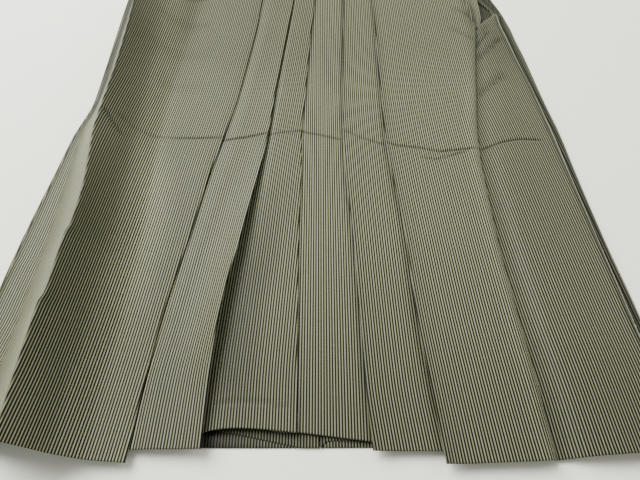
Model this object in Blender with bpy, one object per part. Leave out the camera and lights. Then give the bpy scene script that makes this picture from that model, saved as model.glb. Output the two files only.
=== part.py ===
"""Hakama trousers laid flat, front up, with the hem towards -Y and the waist towards +Y.

Every cloth piece is a wall lofted through sections across the garment. The sections come
from two short tables, with one row for each station up the garment. Tables and section
work are in millimetres: x runs across from the centre front, y runs up from the lowest
point of the hem, z runs up from the surface that the garment lies on. The meshes are in
metres, with the origin at the bottom centre of the whole garment.
"Right" and "left" are the wearer's, so the right leg lies on the -X side.
"""

import math

import bmesh
import bpy
from mathutils import Vector

MM = 0.001

# Cloth
CLOTH = 1.0              # wall of one layer of cloth
SEAM_GAP = 0.3           # clear gap between pieces that are sewn together
LAYER = CLOTH + SEAM_GAP
GROUND_LAYER = CLOTH / 2                # mid height of the layer that lies on the surface
SECOND_LAYER = GROUND_LAYER + LAYER     # mid height of a layer that lies on that one
THIRD_LAYER = SECOND_LAYER + LAYER
FRONT_LAYER = THIRD_LAYER + LAYER       # mid height of the lowest front panel

# Whole garment
BAND_LOW = 912.0         # lower edge of the front waistband
BAND_HIGH = 942.0        # upper edge of the front waistband
FRONT_TOP = 938.0        # top of the front cloth, inside the band
BACK_TOP = 941.7         # top of the back cloth, at the board's lower edge
BOARD_HEIGHT = 90.0
TOTAL_LENGTH = BAND_HIGH + SEAM_GAP + BOARD_HEIGHT
CENTRE_Y = TOTAL_LENGTH / 2

# Front: fold edges of the five knife pleats, pleat depth, pitch of the stacked layers,
# and how far the panels rise above the lowest one where they come out from a pleat.
PLEAT_COLUMNS = ("y", "fold_a", "fold_b", "fold_c", "fold_d", "fold_e", "depth", "pitch", "lift")
PLEAT_ROWS = (
    (0, -139, -88, -17, 39, 91, 36, 2.0, 2.0),
    (57, -137, -89, -18, 36, 87, 36, 2.0, 1.2),
    (117, -133, -86, -19, 34, 82, 35, 2.0, 1.0),
    (197, -123, -74, -20, 31, 80, 33, 2.0, 1.0),
    (277, -112, -62, -19, 26, 73, 30, 1.9, 1.0),
    (328, -103, -56, -20, 25, 70, 28, 1.9, 1.0),
    (387, -94, -52, -17, 26, 70, 26, 1.9, 1.0),
    (457, -87, -46, -14, 28, 70, 25, 1.8, 0.9),
    (511, -82, -41, -11, 30, 71, 24, 1.8, 0.8),
    (585, -78, -35, -7, 32, 71, 23, 1.7, 0.7),
    (631, -75, -33, -6, 31, 69, 22, 1.6, 0.6),
    (677, -73, -32, -6, 29, 66, 21, 1.6, 0.5),
    (777, -68, -29, -5, 26, 59, 19, 1.5, 0.3),
    (877, -63, -27, -4, 23, 53, 15, 1.4, 0.1),
    (BAND_LOW, -62, -26, -4, 22, 51, 14, 1.4, 0.0),
    (FRONT_TOP, -62, -26, -4, 22, 51, 14, 1.4, 0.0),
)

# Right side, on -X: the front rises to a long soft crest and falls to the first pleat.
# back_edge and front_edge are the free or sewn side edges, foot is where the cloth
# leaves the surface, hollow is where the fall ends and rise its height over the pleat.
RIGHT_COLUMNS = ("y", "back_edge", "front_edge", "edge_z", "foot", "crest", "crest_z",
                 "shoulder", "shoulder_z", "flank", "flank_z", "hollow", "rise")
RIGHT_ROWS = (
    (0, -292, -289, 1.8, -262, -212, 52, -205, 40, -188, 22, -166, 1.5),
    (57, -291, -288, 1.8, -262, -212, 56, -205, 43, -188, 23, -167, 2.0),
    (117, -289, -286, 1.8, -261, -210, 60, -202.5, 45.5, -185, 23.5, -165, 2.5),
    (197, -284, -281, 1.8, -260, -208, 60, -200.5, 45.5, -183, 23.5, -163, 2.5),
    (277, -276, -273, 1.8, -261, -212, 58, -204.5, 44, -187, 23.5, -166, 2.5),
    (328, -271, -268, 1.8, -262, -215, 56, -207.5, 43, -189, 23.5, -167, 2.5),
    (387, -261, -258, 1.8, -255, -216, 56, -208.5, 43, -190, 23.5, -166, 2.5),
    (457, -262, -259, 1.8, -255, -218, 56, -210.5, 43, -191, 23.5, -163, 2.5),
    (511, -263, -260, 1.8, -256, -221, 54, -213, 42, -192, 23, -158, 2.0),
    (585, -264, -261, 1.8, -256, -223, 49, -214, 39, -190, 21.5, -150, 1.5),
    (631, -255, -247, 2.9, -242, -212, 41, -203, 33, -179, 18.5, -138, 1.0),
    (677, -242, -228, 4.0, -223, -197, 32, -188, 26.5, -165, 16, -125, 0.4),
    (777, -210, -184, 4.4, -179, -162, 18, -151, 14.5, -130, 11.5, -98, -0.4),
    (877, -175, -146, 4.4, -142, -129, 9, -120, 8.4, -108, 7.7, -86, -0.4),
    (BAND_LOW, -163, -132, 4.4, -128, -118, 5.4, -112, 5.7, -102, 6.0, -84, -0.4),
    (BACK_TOP, -160, -132, 4.4, -128, -118, 5.4, -112, 5.7, -102, 6.0, -84, -0.4),
)

# Left side, on +X: the side seam lies on top, in a shallow valley. Beyond it the back
# cloth rises to a flat ledge and a crest, drops steeply and turns under at back_edge.
LEFT_COLUMNS = ("y", "swell", "swell_z", "seam", "seam_z", "wrap_end", "wrap_z", "ledge_in",
                "ledge_in_z", "ledge_out", "ledge_out_z", "crest", "crest_z", "strip", "back_edge")
LEFT_ROWS = (
    (0, 146, 9.4, 174, 5, 174.6, 5, 195, 11.5, 225, 14, 258, 24, 270, 281),
    (57, 146, 9.2, 173, 5, 173.6, 5, 194, 11.5, 224, 14, 256, 24.5, 269, 280),
    (117, 144, 9, 170, 5, 170.6, 5, 191, 11.8, 222, 14, 252, 24.5, 266, 277),
    (197, 141, 8.8, 167.5, 5, 168.1, 5, 189, 11.8, 218, 14, 247, 23.5, 261, 270.5),
    (277, 143, 8.6, 168, 5, 168.6, 5, 190, 11.5, 216, 14, 242.7, 22, 256, 266),
    (328, 148, 8.6, 171.5, 5, 172.1, 5, 192, 10.5, 216, 14, 241, 20, 253.5, 264),
    (387, 158, 8.6, 180, 5, 180.6, 5, 198, 10, 217, 13, 238, 18, 249, 258.5),
    (457, 170, 8.4, 190.5, 5, 191.1, 5, 204, 9, 218, 11.5, 231, 15.5, 241, 253.5),
    (511, 180, 8.2, 200, 5, 200.6, 5, 209, 8, 218, 10.5, 227, 13, 236, 248),
    (585, 168, 9.0, 191, 7.0, 213, 3.2, 214.5, 3.3, 216.5, 3.5, 219, 3.8, 227, 234),
    (631, 160, 9.0, 184, 7.6, 207, 2.4, 208, 2.45, 209.5, 2.5, 211, 2.6, 218, 225),
    (677, 150, 9.0, 174, 7.8, 200, 1.8, 201, 1.8, 202, 1.8, 203, 1.8, 209, 215),
    (777, 134, 8.2, 157, 6.8, 176, 1.8, 177, 1.8, 178, 1.8, 179, 1.8, 184, 190),
    (877, 118, 6.5, 138, 6.0, 152, 1.8, 153, 1.8, 154, 1.8, 155, 1.8, 159, 165),
    (BAND_LOW, 114, 6.0, 132, 5.7, 145, 1.8, 146, 1.8, 147, 1.8, 148, 1.8, 152, 158),
    (BACK_TOP, 114, 6.0, 132, 5.7, 142, 1.8, 143, 1.8, 144, 1.8, 145, 1.8, 149, 155),
)

# Back: width of the cloth turned in at the centre, inner leg below and centre pleat above.
TURN_COLUMNS = ("y", "turn")
TURN_ROWS = (
    (0, 95), (57, 90), (117, 80), (197, 65), (277, 50), (328, 42), (387, 35), (457, 30),
    (511, 28), (585, 26), (631, 25), (677, 24), (777, 22), (877, 20), (BAND_LOW, 20), (BACK_TOP, 20),
)
CENTRE_SPLIT = 0.15      # half the gap between the two legs at the centre back
PAST_FOLD = 1.0          # a panel reaches its full height this far past the deep fold
EDGE_RISE = 0.6          # rise of the right front from its side edge to the foot

# Hem heights at named places across the front and back
HEM = {
    "right edge": 14, "right foot": 13, "right crest": 10, "right flank": 5, "right hollow": 2,
    "panel 1": 0, "panel 2": 11, "panel 3": 24, "panel 4": 22, "panel 5": 10, "panel 6": 1,
    "swell": 3, "seam": 4, "left crest": 11, "left edge": 12,
    "back": 13, "turn": 26,
    "deep a": 6, "deep b": 17, "deep d": 16, "deep e": 8,
}

# Side folds, the narrow turned pleats along the two side openings
FOLD_COLUMNS = ("y", "right_in", "right_out", "right_z", "left_in", "left_out", "left_z")
FOLD_ROWS = (
    (519, -250, -258, 0, 188, 200, 3.3),
    (562, -250, -258, 0, 186, 206, 4.4),
    (600, -250, -258, 0, 180, 207, 5.3),
    (677, -217, -237, 2.4, 164, 196, 6.3),
    (777, -174, -203, 2.8, 148, 181, 5.0),
    (877, -137, -168, 2.9, 130, 163, 4.2),
    (BAND_LOW - 1, -124, -156, 3.0, 124, 156, 4.1),
)
RIGHT_FOLD_START = 640   # the right side fold shows only above here

# Waistband
BAND_HALF = 158.0
BAND_UNDER = THIRD_LAYER
BAND_OVER = 9.0

# Gusset
GUSSET_LOW = 345.0
GUSSET_HIGH = 425.0
GUSSET_HALF = 34.0

# Back board
BOARD_LOW_HALF = 135.0
BOARD_TOP_HALF = 104.0
BOARD_THICK = 4.0
BOARD_CORNER = 7.0

# Ties
TIE_WIDTH = 28.0
TIE_THICK = 1.6
TIE_PITCH = TIE_THICK + SEAM_GAP
TIE_OUT = 292.0          # outer end of the folded runs
FRONT_TIE_IN = 172.0
FRONT_TIE_RUNS = 12
FRONT_TIE_Y = 927.0
BACK_TIE_IN = 172.0
BACK_TIE_RUNS = 6
BACK_TIE_Y = 966.0

TURN_STEPS = 4           # facets round each folded edge of cloth


def soft_curve(points, x):
    """Height at x on a monotone cubic curve through (x, z) points with rising x."""
    steps = [(b[1] - a[1]) / (b[0] - a[0]) for a, b in zip(points, points[1:])]
    slopes = [steps[0]]
    for before, after in zip(steps, steps[1:]):
        slopes.append(0.0 if before * after <= 0 else 2 * before * after / (before + after))
    slopes.append(steps[-1])
    i = 0
    while i < len(points) - 2 and x > points[i + 1][0]:
        i += 1
    (x0, z0), (x1, z1) = points[i], points[i + 1]
    span = x1 - x0
    t = (x - x0) / span
    return ((1 + 2 * t) * (1 - t) ** 2 * z0 + t * (1 - t) ** 2 * span * slopes[i]
            + t * t * (3 - 2 * t) * z1 + t * t * (t - 1) * span * slopes[i + 1])


def between(start, end, count):
    """count values from start to end, both ends included."""
    return [start + (end - start) * i / (count - 1) for i in range(count)]


def run(points, xs, drop=0.0):
    """Section points (x, z) along a soft curve, lowered by drop."""
    rising = points if points[0][0] < points[-1][0] else points[::-1]
    return [(x, soft_curve(rising, x) - drop) for x in xs]


def turn(x, z_from, z_to, side):
    """Points of a half round fold whose cloth reaches x on the given side (+1 is +X)."""
    radius = abs(z_from - z_to) / 2
    centre_x = x - side * (radius + CLOTH / 2)
    centre_z = (z_from + z_to) / 2
    start = 90 if z_from > z_to else -90
    points = []
    for i in range(1, TURN_STEPS):
        angle = math.radians(start * (1 - 2 * i / TURN_STEPS))
        points.append((centre_x + side * radius * math.cos(angle),
                       centre_z + radius * math.sin(angle)))
    return points


def turn_root(x, pitch, side):
    """Where a layer stops and its fold begins."""
    return x - side * (pitch / 2 + CLOTH / 2)


def tagged(points, low, high):
    """Section points with their hem height, spread evenly from low to high."""
    heights = between(low, high, len(points)) if len(points) > 1 else [low]
    return [(x, z, hem) for (x, z), hem in zip(points, heights)]


def pleat(points, edge, deep, top, pitch, side, hems):
    """Add a knife pleat: its fold edge, the return below it and the deep fold.

    side is the way that the fold edge points, and top is the mid height of the panel that
    ends in it. The next layer starts two pitches lower, at the deep fold.
    """
    root = turn_root(edge, pitch, side)
    deep_root = turn_root(deep, pitch, -side)
    edge_hem, deep_hem = hems
    points += tagged(turn(edge, top, top - pitch, side), edge_hem, edge_hem)
    points += tagged([(root, top - pitch), (deep_root, top - pitch)], edge_hem, deep_hem)
    points += tagged(turn(deep, top - pitch, top - 2 * pitch, -side), deep_hem, deep_hem)
    points += tagged([(deep_root, top - 2 * pitch)], deep_hem, deep_hem)


def front_right_section(p, s):
    """Panels 1, 2 and 3, from the side edge to the hidden end behind fold c."""
    a, b, c = p["fold_a"], p["fold_b"], p["fold_c"]
    depth, pitch = p["depth"], p["pitch"]
    low = FRONT_LAYER + p["lift"]
    high = low + 2 * pitch
    top_3 = FRONT_LAYER + 2 * pitch
    root_a, root_b, root_c = (turn_root(x, pitch, 1) for x in (a, b, c))
    deep_a, deep_b, deep_c = a - depth / 2, b - depth, c - depth
    swell = [(s["front_edge"], s["edge_z"]), (s["foot"], s["edge_z"] + EDGE_RISE),
             (s["crest"], s["crest_z"]), (s["shoulder"], s["shoulder_z"]),
             (s["flank"], s["flank_z"]), (s["hollow"], high + s["rise"]), (root_a, high)]
    xs = (between(s["front_edge"], s["foot"], 3) + between(s["foot"], s["crest"], 6)[1:]
          + between(s["crest"], s["shoulder"], 3)[1:] + between(s["shoulder"], s["flank"], 3)[1:]
          + between(s["flank"], s["hollow"], 4)[1:] + between(s["hollow"], root_a, 3)[1:])
    hems = [(s["front_edge"], HEM["right edge"]), (s["foot"], HEM["right foot"]),
            (s["crest"], HEM["right crest"]), (s["flank"], HEM["right flank"]),
            (s["hollow"], HEM["right hollow"]), (root_a, HEM["panel 1"])]
    points = [(x, z, soft_curve(hems, x)) for x, z in run(swell, xs)]
    pleat(points, a, deep_a, high, pitch, 1, (HEM["panel 1"], HEM["deep a"]))
    panel_2 = [(a, low), (deep_b - PAST_FOLD, high), (root_b, high)]
    shown = run(panel_2, between(a, deep_b - PAST_FOLD, 4) + [root_b])
    points += tagged(shown, HEM["panel 2"], HEM["panel 2"])
    pleat(points, b, deep_b, high, pitch, 1, (HEM["panel 2"], HEM["deep b"]))
    panel_3 = [(b, low), (deep_c - PAST_FOLD, top_3), (root_c, top_3)]
    shown = run(panel_3, between(b, deep_c - PAST_FOLD, 4) + [root_c])
    points += tagged(shown, HEM["panel 3"], HEM["panel 3"])
    points += tagged(turn(c, top_3, top_3 - pitch, 1), HEM["panel 3"], HEM["panel 3"])
    hidden = [(root_c, top_3 - pitch), (deep_c, top_3 - pitch)]
    return points + tagged(hidden, HEM["panel 3"], HEM["panel 3"])


def front_left_section(p, s):
    """Panels 4, 5 and 6, from the hidden end behind fold c to the side seam."""
    c, d, e = p["fold_c"], p["fold_d"], p["fold_e"]
    depth, pitch = p["depth"], p["pitch"]
    low = FRONT_LAYER + p["lift"]
    high = low + 2 * pitch
    top_5 = FRONT_LAYER + 2 * pitch
    deep_c, deep_d, deep_e = c - depth, d + depth, e + depth / 2
    root_d, root_e = (turn_root(x, pitch, -1) for x in (d, e))
    points = tagged([(deep_c, FRONT_LAYER)], HEM["panel 3"], HEM["panel 3"])
    panel_4 = [(x, FRONT_LAYER) for x in (c, (c + d) / 2, d)]
    points += tagged(panel_4, HEM["panel 4"], HEM["deep d"])
    pleat_up(points, d, deep_d, FRONT_LAYER, pitch, (HEM["deep d"], HEM["panel 5"]))
    panel_5 = [(root_d, top_5), (deep_d + PAST_FOLD, top_5), (e, low)]
    shown = run(panel_5, [root_d] + between(deep_d + PAST_FOLD, e, 4))
    points += tagged(shown, HEM["panel 5"], HEM["panel 5"])
    pleat_up(points, e, deep_e, low, pitch, (HEM["deep e"], HEM["panel 6"]))
    panel_6 = [(root_e, high), (deep_e + PAST_FOLD, high), (s["swell"], s["swell_z"]),
               (s["seam"], s["seam_z"])]
    shown = run(panel_6, [root_e] + between(deep_e + PAST_FOLD, s["swell"], 4)
                + between(s["swell"], s["seam"], 5)[1:])
    return points + tagged(shown, HEM["panel 6"], HEM["seam"])


def pleat_up(points, edge, deep, base, pitch, hems):
    """Add a knife pleat met from below: its deep fold, the return and the fold edge at -X."""
    root = turn_root(edge, pitch, -1)
    deep_root = turn_root(deep, pitch, 1)
    deep_hem, edge_hem = hems
    points += tagged([(deep_root, base)], deep_hem, deep_hem)
    points += tagged(turn(deep, base, base + pitch, 1), deep_hem, deep_hem)
    points += tagged([(deep_root, base + pitch), (root, base + pitch)], deep_hem, edge_hem)
    points += tagged(turn(edge, base + pitch, base + 2 * pitch, -1), edge_hem, edge_hem)


def back_right_section(turn_in, s):
    """Flat back of the right leg, turned in over itself at the centre."""
    centre = -CENTRE_SPLIT
    root = turn_root(centre, LAYER, 1)
    points = [(x, GROUND_LAYER, HEM["back"]) for x in between(s["back_edge"], root, 5)]
    points += tagged(turn(centre, GROUND_LAYER, SECOND_LAYER, 1), HEM["back"], HEM["back"])
    inner = [(x, SECOND_LAYER) for x in between(root, centre - turn_in, 3)]
    return points + tagged(inner, HEM["back"], HEM["turn"])


def back_left_section(turn_in, s):
    """Back of the left leg, turned in at the centre and brought over at the side."""
    centre = CENTRE_SPLIT
    edge = s["back_edge"]
    root = turn_root(centre, LAYER, -1)
    inner = [(x, SECOND_LAYER) for x in between(centre + turn_in, root, 3)]
    points = tagged(inner, HEM["turn"], HEM["back"])
    points += tagged(turn(centre, SECOND_LAYER, GROUND_LAYER, -1), HEM["back"], HEM["back"])
    outer = turn_root(edge, LAYER, 1)
    points += tagged([(x, GROUND_LAYER) for x in between(root, outer, 5)],
                     HEM["back"], HEM["left edge"])
    points += tagged(turn(edge, GROUND_LAYER, SECOND_LAYER, 1),
                     HEM["left edge"], HEM["left edge"])
    over = [(s["wrap_end"], s["wrap_z"]), (s["ledge_in"], s["ledge_in_z"]),
            (s["ledge_out"], s["ledge_out_z"]), (s["crest"], s["crest_z"]),
            (s["strip"], SECOND_LAYER), (outer, SECOND_LAYER)]
    xs = ([outer] + between(s["strip"], s["crest"], 5) + between(s["crest"], s["ledge_out"], 4)[1:]
          + between(s["ledge_out"], s["ledge_in"], 3)[1:]
          + between(s["ledge_in"], s["wrap_end"], 4)[1:])
    return points + tagged(run(over, xs), HEM["left crest"], HEM["seam"])


def wall_mesh(name, rings, thickness, upright=False):
    """Closed mesh of a cloth wall round a grid of mid points, in metres.

    rings is a list of sections in millimetres. A section is a list of (x, y, z) points
    with y nearly constant, or of (y, x, z) points with x constant where upright is true.
    """
    mesh = bmesh.new()
    half = thickness / 2

    def corner(along, station, z):
        x, y = (station, along) if upright else (along, station)
        return mesh.verts.new((x * MM, (y - CENTRE_Y) * MM, z * MM))

    grid = []
    for ring in rings:
        pairs = []
        for j, (x, y, z) in enumerate(ring):
            before = ring[max(j - 1, 0)]
            after = ring[min(j + 1, len(ring) - 1)]
            first = Vector((x - before[0], z - before[2]))
            second = Vector((after[0] - x, after[2] - z))
            first = (first if first.length > 0 else second).normalized()
            second = (second if second.length > 0 else first).normalized()
            along = (first + second).normalized()
            reach = half / max(along.dot(first), 0.7)
            across = Vector((-along.y, along.x)) * reach
            pairs.append([corner(x + k * across.x, y, z + k * across.y) for k in (1, -1)])
        grid.append(pairs)
    for low, high in zip(grid, grid[1:]):
        for j in range(len(low) - 1):
            mesh.faces.new((low[j][0], low[j + 1][0], high[j + 1][0], high[j][0]))
            mesh.faces.new((low[j][1], high[j][1], high[j + 1][1], low[j + 1][1]))
        for j in (0, len(low) - 1):
            mesh.faces.new((low[j][0], low[j][1], high[j][1], high[j][0]))
    for pairs in (grid[0], grid[-1]):
        for j in range(len(pairs) - 1):
            mesh.faces.new((pairs[j][0], pairs[j][1], pairs[j + 1][1], pairs[j + 1][0]))
    bmesh.ops.recalc_face_normals(mesh, faces=mesh.faces)
    bmesh.ops.triangulate(mesh, faces=mesh.faces)
    data = bpy.data.meshes.new(name)
    mesh.to_mesh(data)
    mesh.free()
    return data


def cloth_material(name, colour, roughness):
    """Plain Principled material for one piece."""
    material = bpy.data.materials.new(name)
    material.use_nodes = True
    shader = material.node_tree.nodes["Principled BSDF"]
    shader.inputs["Base Color"].default_value = (*colour, 1)
    shader.inputs["Roughness"].default_value = roughness
    shader.inputs["Metallic"].default_value = 0.0
    material.diffuse_color = (*colour, 1)
    return material


SILK_COLOURS = ((0.21, 0.20, 0.15), (0.19, 0.18, 0.14), (0.17, 0.165, 0.13))
SILK_ROUGHNESS = 0.55
TIE_COLOUR = (0.20, 0.19, 0.145)
TIE_ROUGHNESS = 0.6


def piece(name, data, colour, roughness):
    """Object for one cut and sewn piece, with its own material."""
    thing = bpy.data.objects.new(name, data)
    data.materials.append(cloth_material(name + "_cloth", colour, roughness))
    bpy.context.scene.collection.objects.link(thing)
    return thing


def station_rings(section, stations, top):
    """Rings of a panel; the first one follows the hem, the last ends at top."""
    rings = []
    for i, station in enumerate(stations):
        points = section(*station[1:])
        level = min(station[0], top)
        rings.append([(x, hem if i == 0 else level, z) for x, z, hem in points])
    return rings


def build_panels():
    """Front and back cloths of both legs."""
    pleats = [dict(zip(PLEAT_COLUMNS, row)) for row in PLEAT_ROWS]
    right = [dict(zip(RIGHT_COLUMNS, row)) for row in RIGHT_ROWS]
    left = [dict(zip(LEFT_COLUMNS, row)) for row in LEFT_ROWS]
    turns = dict(TURN_ROWS)
    fronts = (("front_right", front_right_section, right, 0),
              ("front_left", front_left_section, left, 1))
    for name, section, sides, shade in fronts:
        stations = [(p["y"], p, s) for p, s in zip(pleats, sides)]
        rings = station_rings(section, stations, FRONT_TOP)
        piece(name, wall_mesh(name, rings, CLOTH), SILK_COLOURS[shade], SILK_ROUGHNESS)
    backs = (("back_right", back_right_section, right, 1),
             ("back_left", back_left_section, left, 2))
    for name, section, sides, shade in backs:
        stations = [(s["y"], turns[s["y"]], s) for s in sides]
        rings = station_rings(section, stations, BACK_TOP)
        piece(name, wall_mesh(name, rings, CLOTH), SILK_COLOURS[shade], SILK_ROUGHNESS)


def build_side_folds():
    """Turned pleats along the side openings, lying under the edges of the front."""
    for side in ("right", "left"):
        rings = []
        for row in FOLD_ROWS:
            fold = dict(zip(FOLD_COLUMNS, row))
            if side == "right" and fold["y"] < RIGHT_FOLD_START:
                continue
            xs = between(fold[side + "_in"], fold[side + "_out"], 3)
            rings.append([(x, fold["y"], fold[side + "_z"]) for x in xs])
        name = "side_fold_" + side
        piece(name, wall_mesh(name, rings, CLOTH), SILK_COLOURS[2], SILK_ROUGHNESS)


def build_gusset():
    """Folded gusset between the legs, a flat kite hidden behind the centre pleat."""
    middle = (GUSSET_LOW + GUSSET_HIGH) / 2
    rings = []
    for level, half in ((GUSSET_LOW, 4), (middle, GUSSET_HALF), (GUSSET_HIGH, 4)):
        rings.append([(x, level, THIRD_LAYER) for x in between(-half, half, 3)])
    piece("gusset", wall_mesh("gusset", rings, CLOTH), SILK_COLOURS[2], SILK_ROUGHNESS)


def build_waistband():
    """Band folded over the top of the front cloth, open at both ends."""
    radius = (BAND_OVER - BAND_UNDER) / 2
    middle = (BAND_OVER + BAND_UNDER) / 2
    inner_top = BAND_HIGH - CLOTH / 2 - radius
    profile = [(BAND_LOW, BAND_UNDER), (inner_top, BAND_UNDER)]
    for i in range(1, 6):
        angle = math.radians(-90 + 30 * i)
        profile.append((inner_top + radius * math.cos(angle), middle + radius * math.sin(angle)))
    profile += [(inner_top, BAND_OVER), (BAND_LOW, BAND_OVER)]
    rings = [[(y, x, z) for y, z in profile] for x in between(-BAND_HALF, BAND_HALF, 5)]
    data = wall_mesh("waistband", rings, CLOTH, upright=True)
    piece("waistband", data, TIE_COLOUR, TIE_ROUGHNESS)


def tie_profile(start_x, start_z, inner_x, runs):
    """Side profile (x, z) of a tie that drops to the surface and folds back and forth."""
    low = TIE_THICK / 2
    radius = TIE_PITCH / 2
    points = [(start_x, start_z), (start_x + 3, start_z), (start_x + 12, low)]
    x_far, x_near = TIE_OUT - TIE_THICK / 2 - radius, inner_x + TIE_THICK / 2 + radius
    for i in range(runs):
        level = low + i * TIE_PITCH
        outward = i % 2 == 0
        end, side = (x_far, 1) if outward else (x_near, -1)
        points.append((end, level))
        if i < runs - 1:
            for j in (1, 2, 3):
                angle = math.radians(-90 + 45 * j)
                points.append((end + side * radius * math.cos(angle),
                               level + radius + radius * math.sin(angle)))
            points.append((end, level + TIE_PITCH))
    return points


def build_tie(name, side, start_x, start_z, inner_x, runs, middle_y):
    """One tie, folded in runs beside the waist."""
    profile = tie_profile(start_x, start_z, inner_x, runs)
    edges = (middle_y - TIE_WIDTH / 2, middle_y + TIE_WIDTH / 2)
    rings = [[(side * x, y, z) for x, z in profile] for y in edges]
    piece(name, wall_mesh(name, rings, TIE_THICK), TIE_COLOUR, TIE_ROUGHNESS)


def build_ties():
    """Front ties from the ends of the band, back ties from the corners of the board."""
    for word, side in (("right", -1), ("left", 1)):
        build_tie("front_tie_" + word, side, BAND_HALF + SEAM_GAP, BAND_OVER,
                  FRONT_TIE_IN, FRONT_TIE_RUNS, FRONT_TIE_Y)
        build_tie("back_tie_" + word, side, BOARD_LOW_HALF + SEAM_GAP, BOARD_THICK / 2,
                  BACK_TIE_IN, BACK_TIE_RUNS, BACK_TIE_Y)


def build_board():
    """Stiff cloth-covered board above the back cloth, a trapezium with soft corners."""
    low = BAND_HIGH + SEAM_GAP
    high = low + BOARD_HEIGHT
    corner = BOARD_CORNER
    outline = [(-BOARD_LOW_HALF, low), (BOARD_LOW_HALF, low),
               (BOARD_LOW_HALF, low + TIE_WIDTH + 12), (BOARD_TOP_HALF + corner / 3, high - corner),
               (BOARD_TOP_HALF - corner, high), (-BOARD_TOP_HALF + corner, high),
               (-BOARD_TOP_HALF - corner / 3, high - corner),
               (-BOARD_LOW_HALF, low + TIE_WIDTH + 12)]
    mesh = bmesh.new()
    base = [mesh.verts.new((x * MM, (y - CENTRE_Y) * MM, 0)) for x, y in outline]
    face = mesh.faces.new(base)
    raised = bmesh.ops.extrude_face_region(mesh, geom=[face])
    lifted = [v for v in raised["geom"] if isinstance(v, bmesh.types.BMVert)]
    bmesh.ops.translate(mesh, verts=lifted, vec=(0, 0, BOARD_THICK * MM))
    bmesh.ops.recalc_face_normals(mesh, faces=mesh.faces)
    data = bpy.data.meshes.new("back_board")
    mesh.to_mesh(data)
    mesh.free()
    piece("back_board", data, TIE_COLOUR, TIE_ROUGHNESS)


def main():
    for thing in list(bpy.data.objects):
        bpy.data.objects.remove(thing)
    build_panels()
    build_side_folds()
    build_gusset()
    build_waistband()
    build_board()
    build_ties()


main()
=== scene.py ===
"""Striped silk hakama trousers laid flat, front up, with the hem towards -Y.

Every cloth piece is a thin shell lofted through sections across the garment. Tables and
section work are in millimetres: x runs across from the centre front, y runs up from the
lowest point of the hem, z runs up from the surface. Meshes are in metres, in the frame's
own place. "Right" and "left" are the wearer's, so the right leg lies on the -X side.
"""

import math

import bpy
import numpy as np
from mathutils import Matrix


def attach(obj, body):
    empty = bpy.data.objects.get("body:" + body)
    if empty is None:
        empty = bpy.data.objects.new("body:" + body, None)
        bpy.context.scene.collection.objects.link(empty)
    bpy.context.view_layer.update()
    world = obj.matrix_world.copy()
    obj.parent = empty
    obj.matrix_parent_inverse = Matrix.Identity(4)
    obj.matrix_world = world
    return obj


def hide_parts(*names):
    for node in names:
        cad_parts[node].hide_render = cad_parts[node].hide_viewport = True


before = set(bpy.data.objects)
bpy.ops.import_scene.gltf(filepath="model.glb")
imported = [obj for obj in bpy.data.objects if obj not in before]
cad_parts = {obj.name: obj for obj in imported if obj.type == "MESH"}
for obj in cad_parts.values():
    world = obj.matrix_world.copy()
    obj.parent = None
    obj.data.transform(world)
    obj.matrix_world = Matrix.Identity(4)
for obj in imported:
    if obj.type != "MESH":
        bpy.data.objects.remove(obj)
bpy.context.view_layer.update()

MM = 0.001

CLOTH = 0.45             # thickness of one layer of silk
TURN_STEPS = 8           # faces round a turned fold

# Cloth layers, as mid heights from the surface
LAYER = 1.3
GROUND_LAYER = 0.5
SECOND_LAYER = GROUND_LAYER + LAYER
THIRD_LAYER = SECOND_LAYER + LAYER
FRONT_LAYER = THIRD_LAYER + LAYER

# Whole garment
BAND_LOW = 912.0
BAND_HIGH = 942.0
FRONT_TOP = 938.0
BACK_TOP = 941.7
BOARD_HEIGHT = 90.0
SEAM_GAP = 0.3
TOTAL_LENGTH = BAND_HIGH + SEAM_GAP + BOARD_HEIGHT
CENTRE_Y = TOTAL_LENGTH / 2
HEM_ZONE = 57.0          # above this height the sections no longer follow the hem's line

# Front: fold edges of the five knife pleats, pleat depth, pitch of the stacked layers, how far
# the panels rise above the lowest one where they come out from a pleat, and how far the edge
# of fold b stands off.
PLEAT_COLUMNS = ("y", "fold_a", "fold_b", "fold_c", "fold_d", "fold_e", "depth", "pitch", "lift",
                 "flare")
PLEAT_ROWS = (
    (0, -141.5, -88, -17, 39, 91, 36, 1.2, 2.0, 3.0),
    (57, -139, -89, -18, 36, 87, 36, 1.15, 1.2, 8.0),
    (117, -134.5, -86, -19, 34, 82, 35, 1.1, 1.0, 12.5),
    (197, -123, -74, -20, 31, 80, 33, 1.0, 1.0, 10.0),
    (277, -112, -62, -19, 26, 73, 30, 0.95, 1.0, 3.5),
    (328, -103, -56, -20, 25, 70, 28, 0.95, 1.0, 1.5),
    (387, -94, -52, -17, 26, 70, 26, 0.95, 1.0, 1.0),
    (457, -87, -46, -14, 28, 70, 25, 0.95, 0.9, 0.6),
    (511, -82, -41, -11, 30, 71, 24, 0.95, 0.8, 0.5),
    (585, -78, -35, -7, 32, 71, 23, 0.95, 0.7, 0.0),
    (631, -75, -33, -6, 31, 69, 22, 0.95, 0.6, 0.0),
    (677, -73, -32, -6, 29, 66, 21, 0.95, 0.5, 0.0),
    (777, -68, -29, -5, 26, 59, 19, 0.95, 0.3, 0.0),
    (877, -63, -27, -4, 23, 53, 15, 0.95, 0.1, 0.0),
    (BAND_LOW, -62, -26, -4, 22, 51, 14, 0.95, 0.0, 0.0),
    (BACK_TOP, -62, -26, -4, 22, 51, 14, 0.95, 0.0, 0.0),
)

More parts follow.
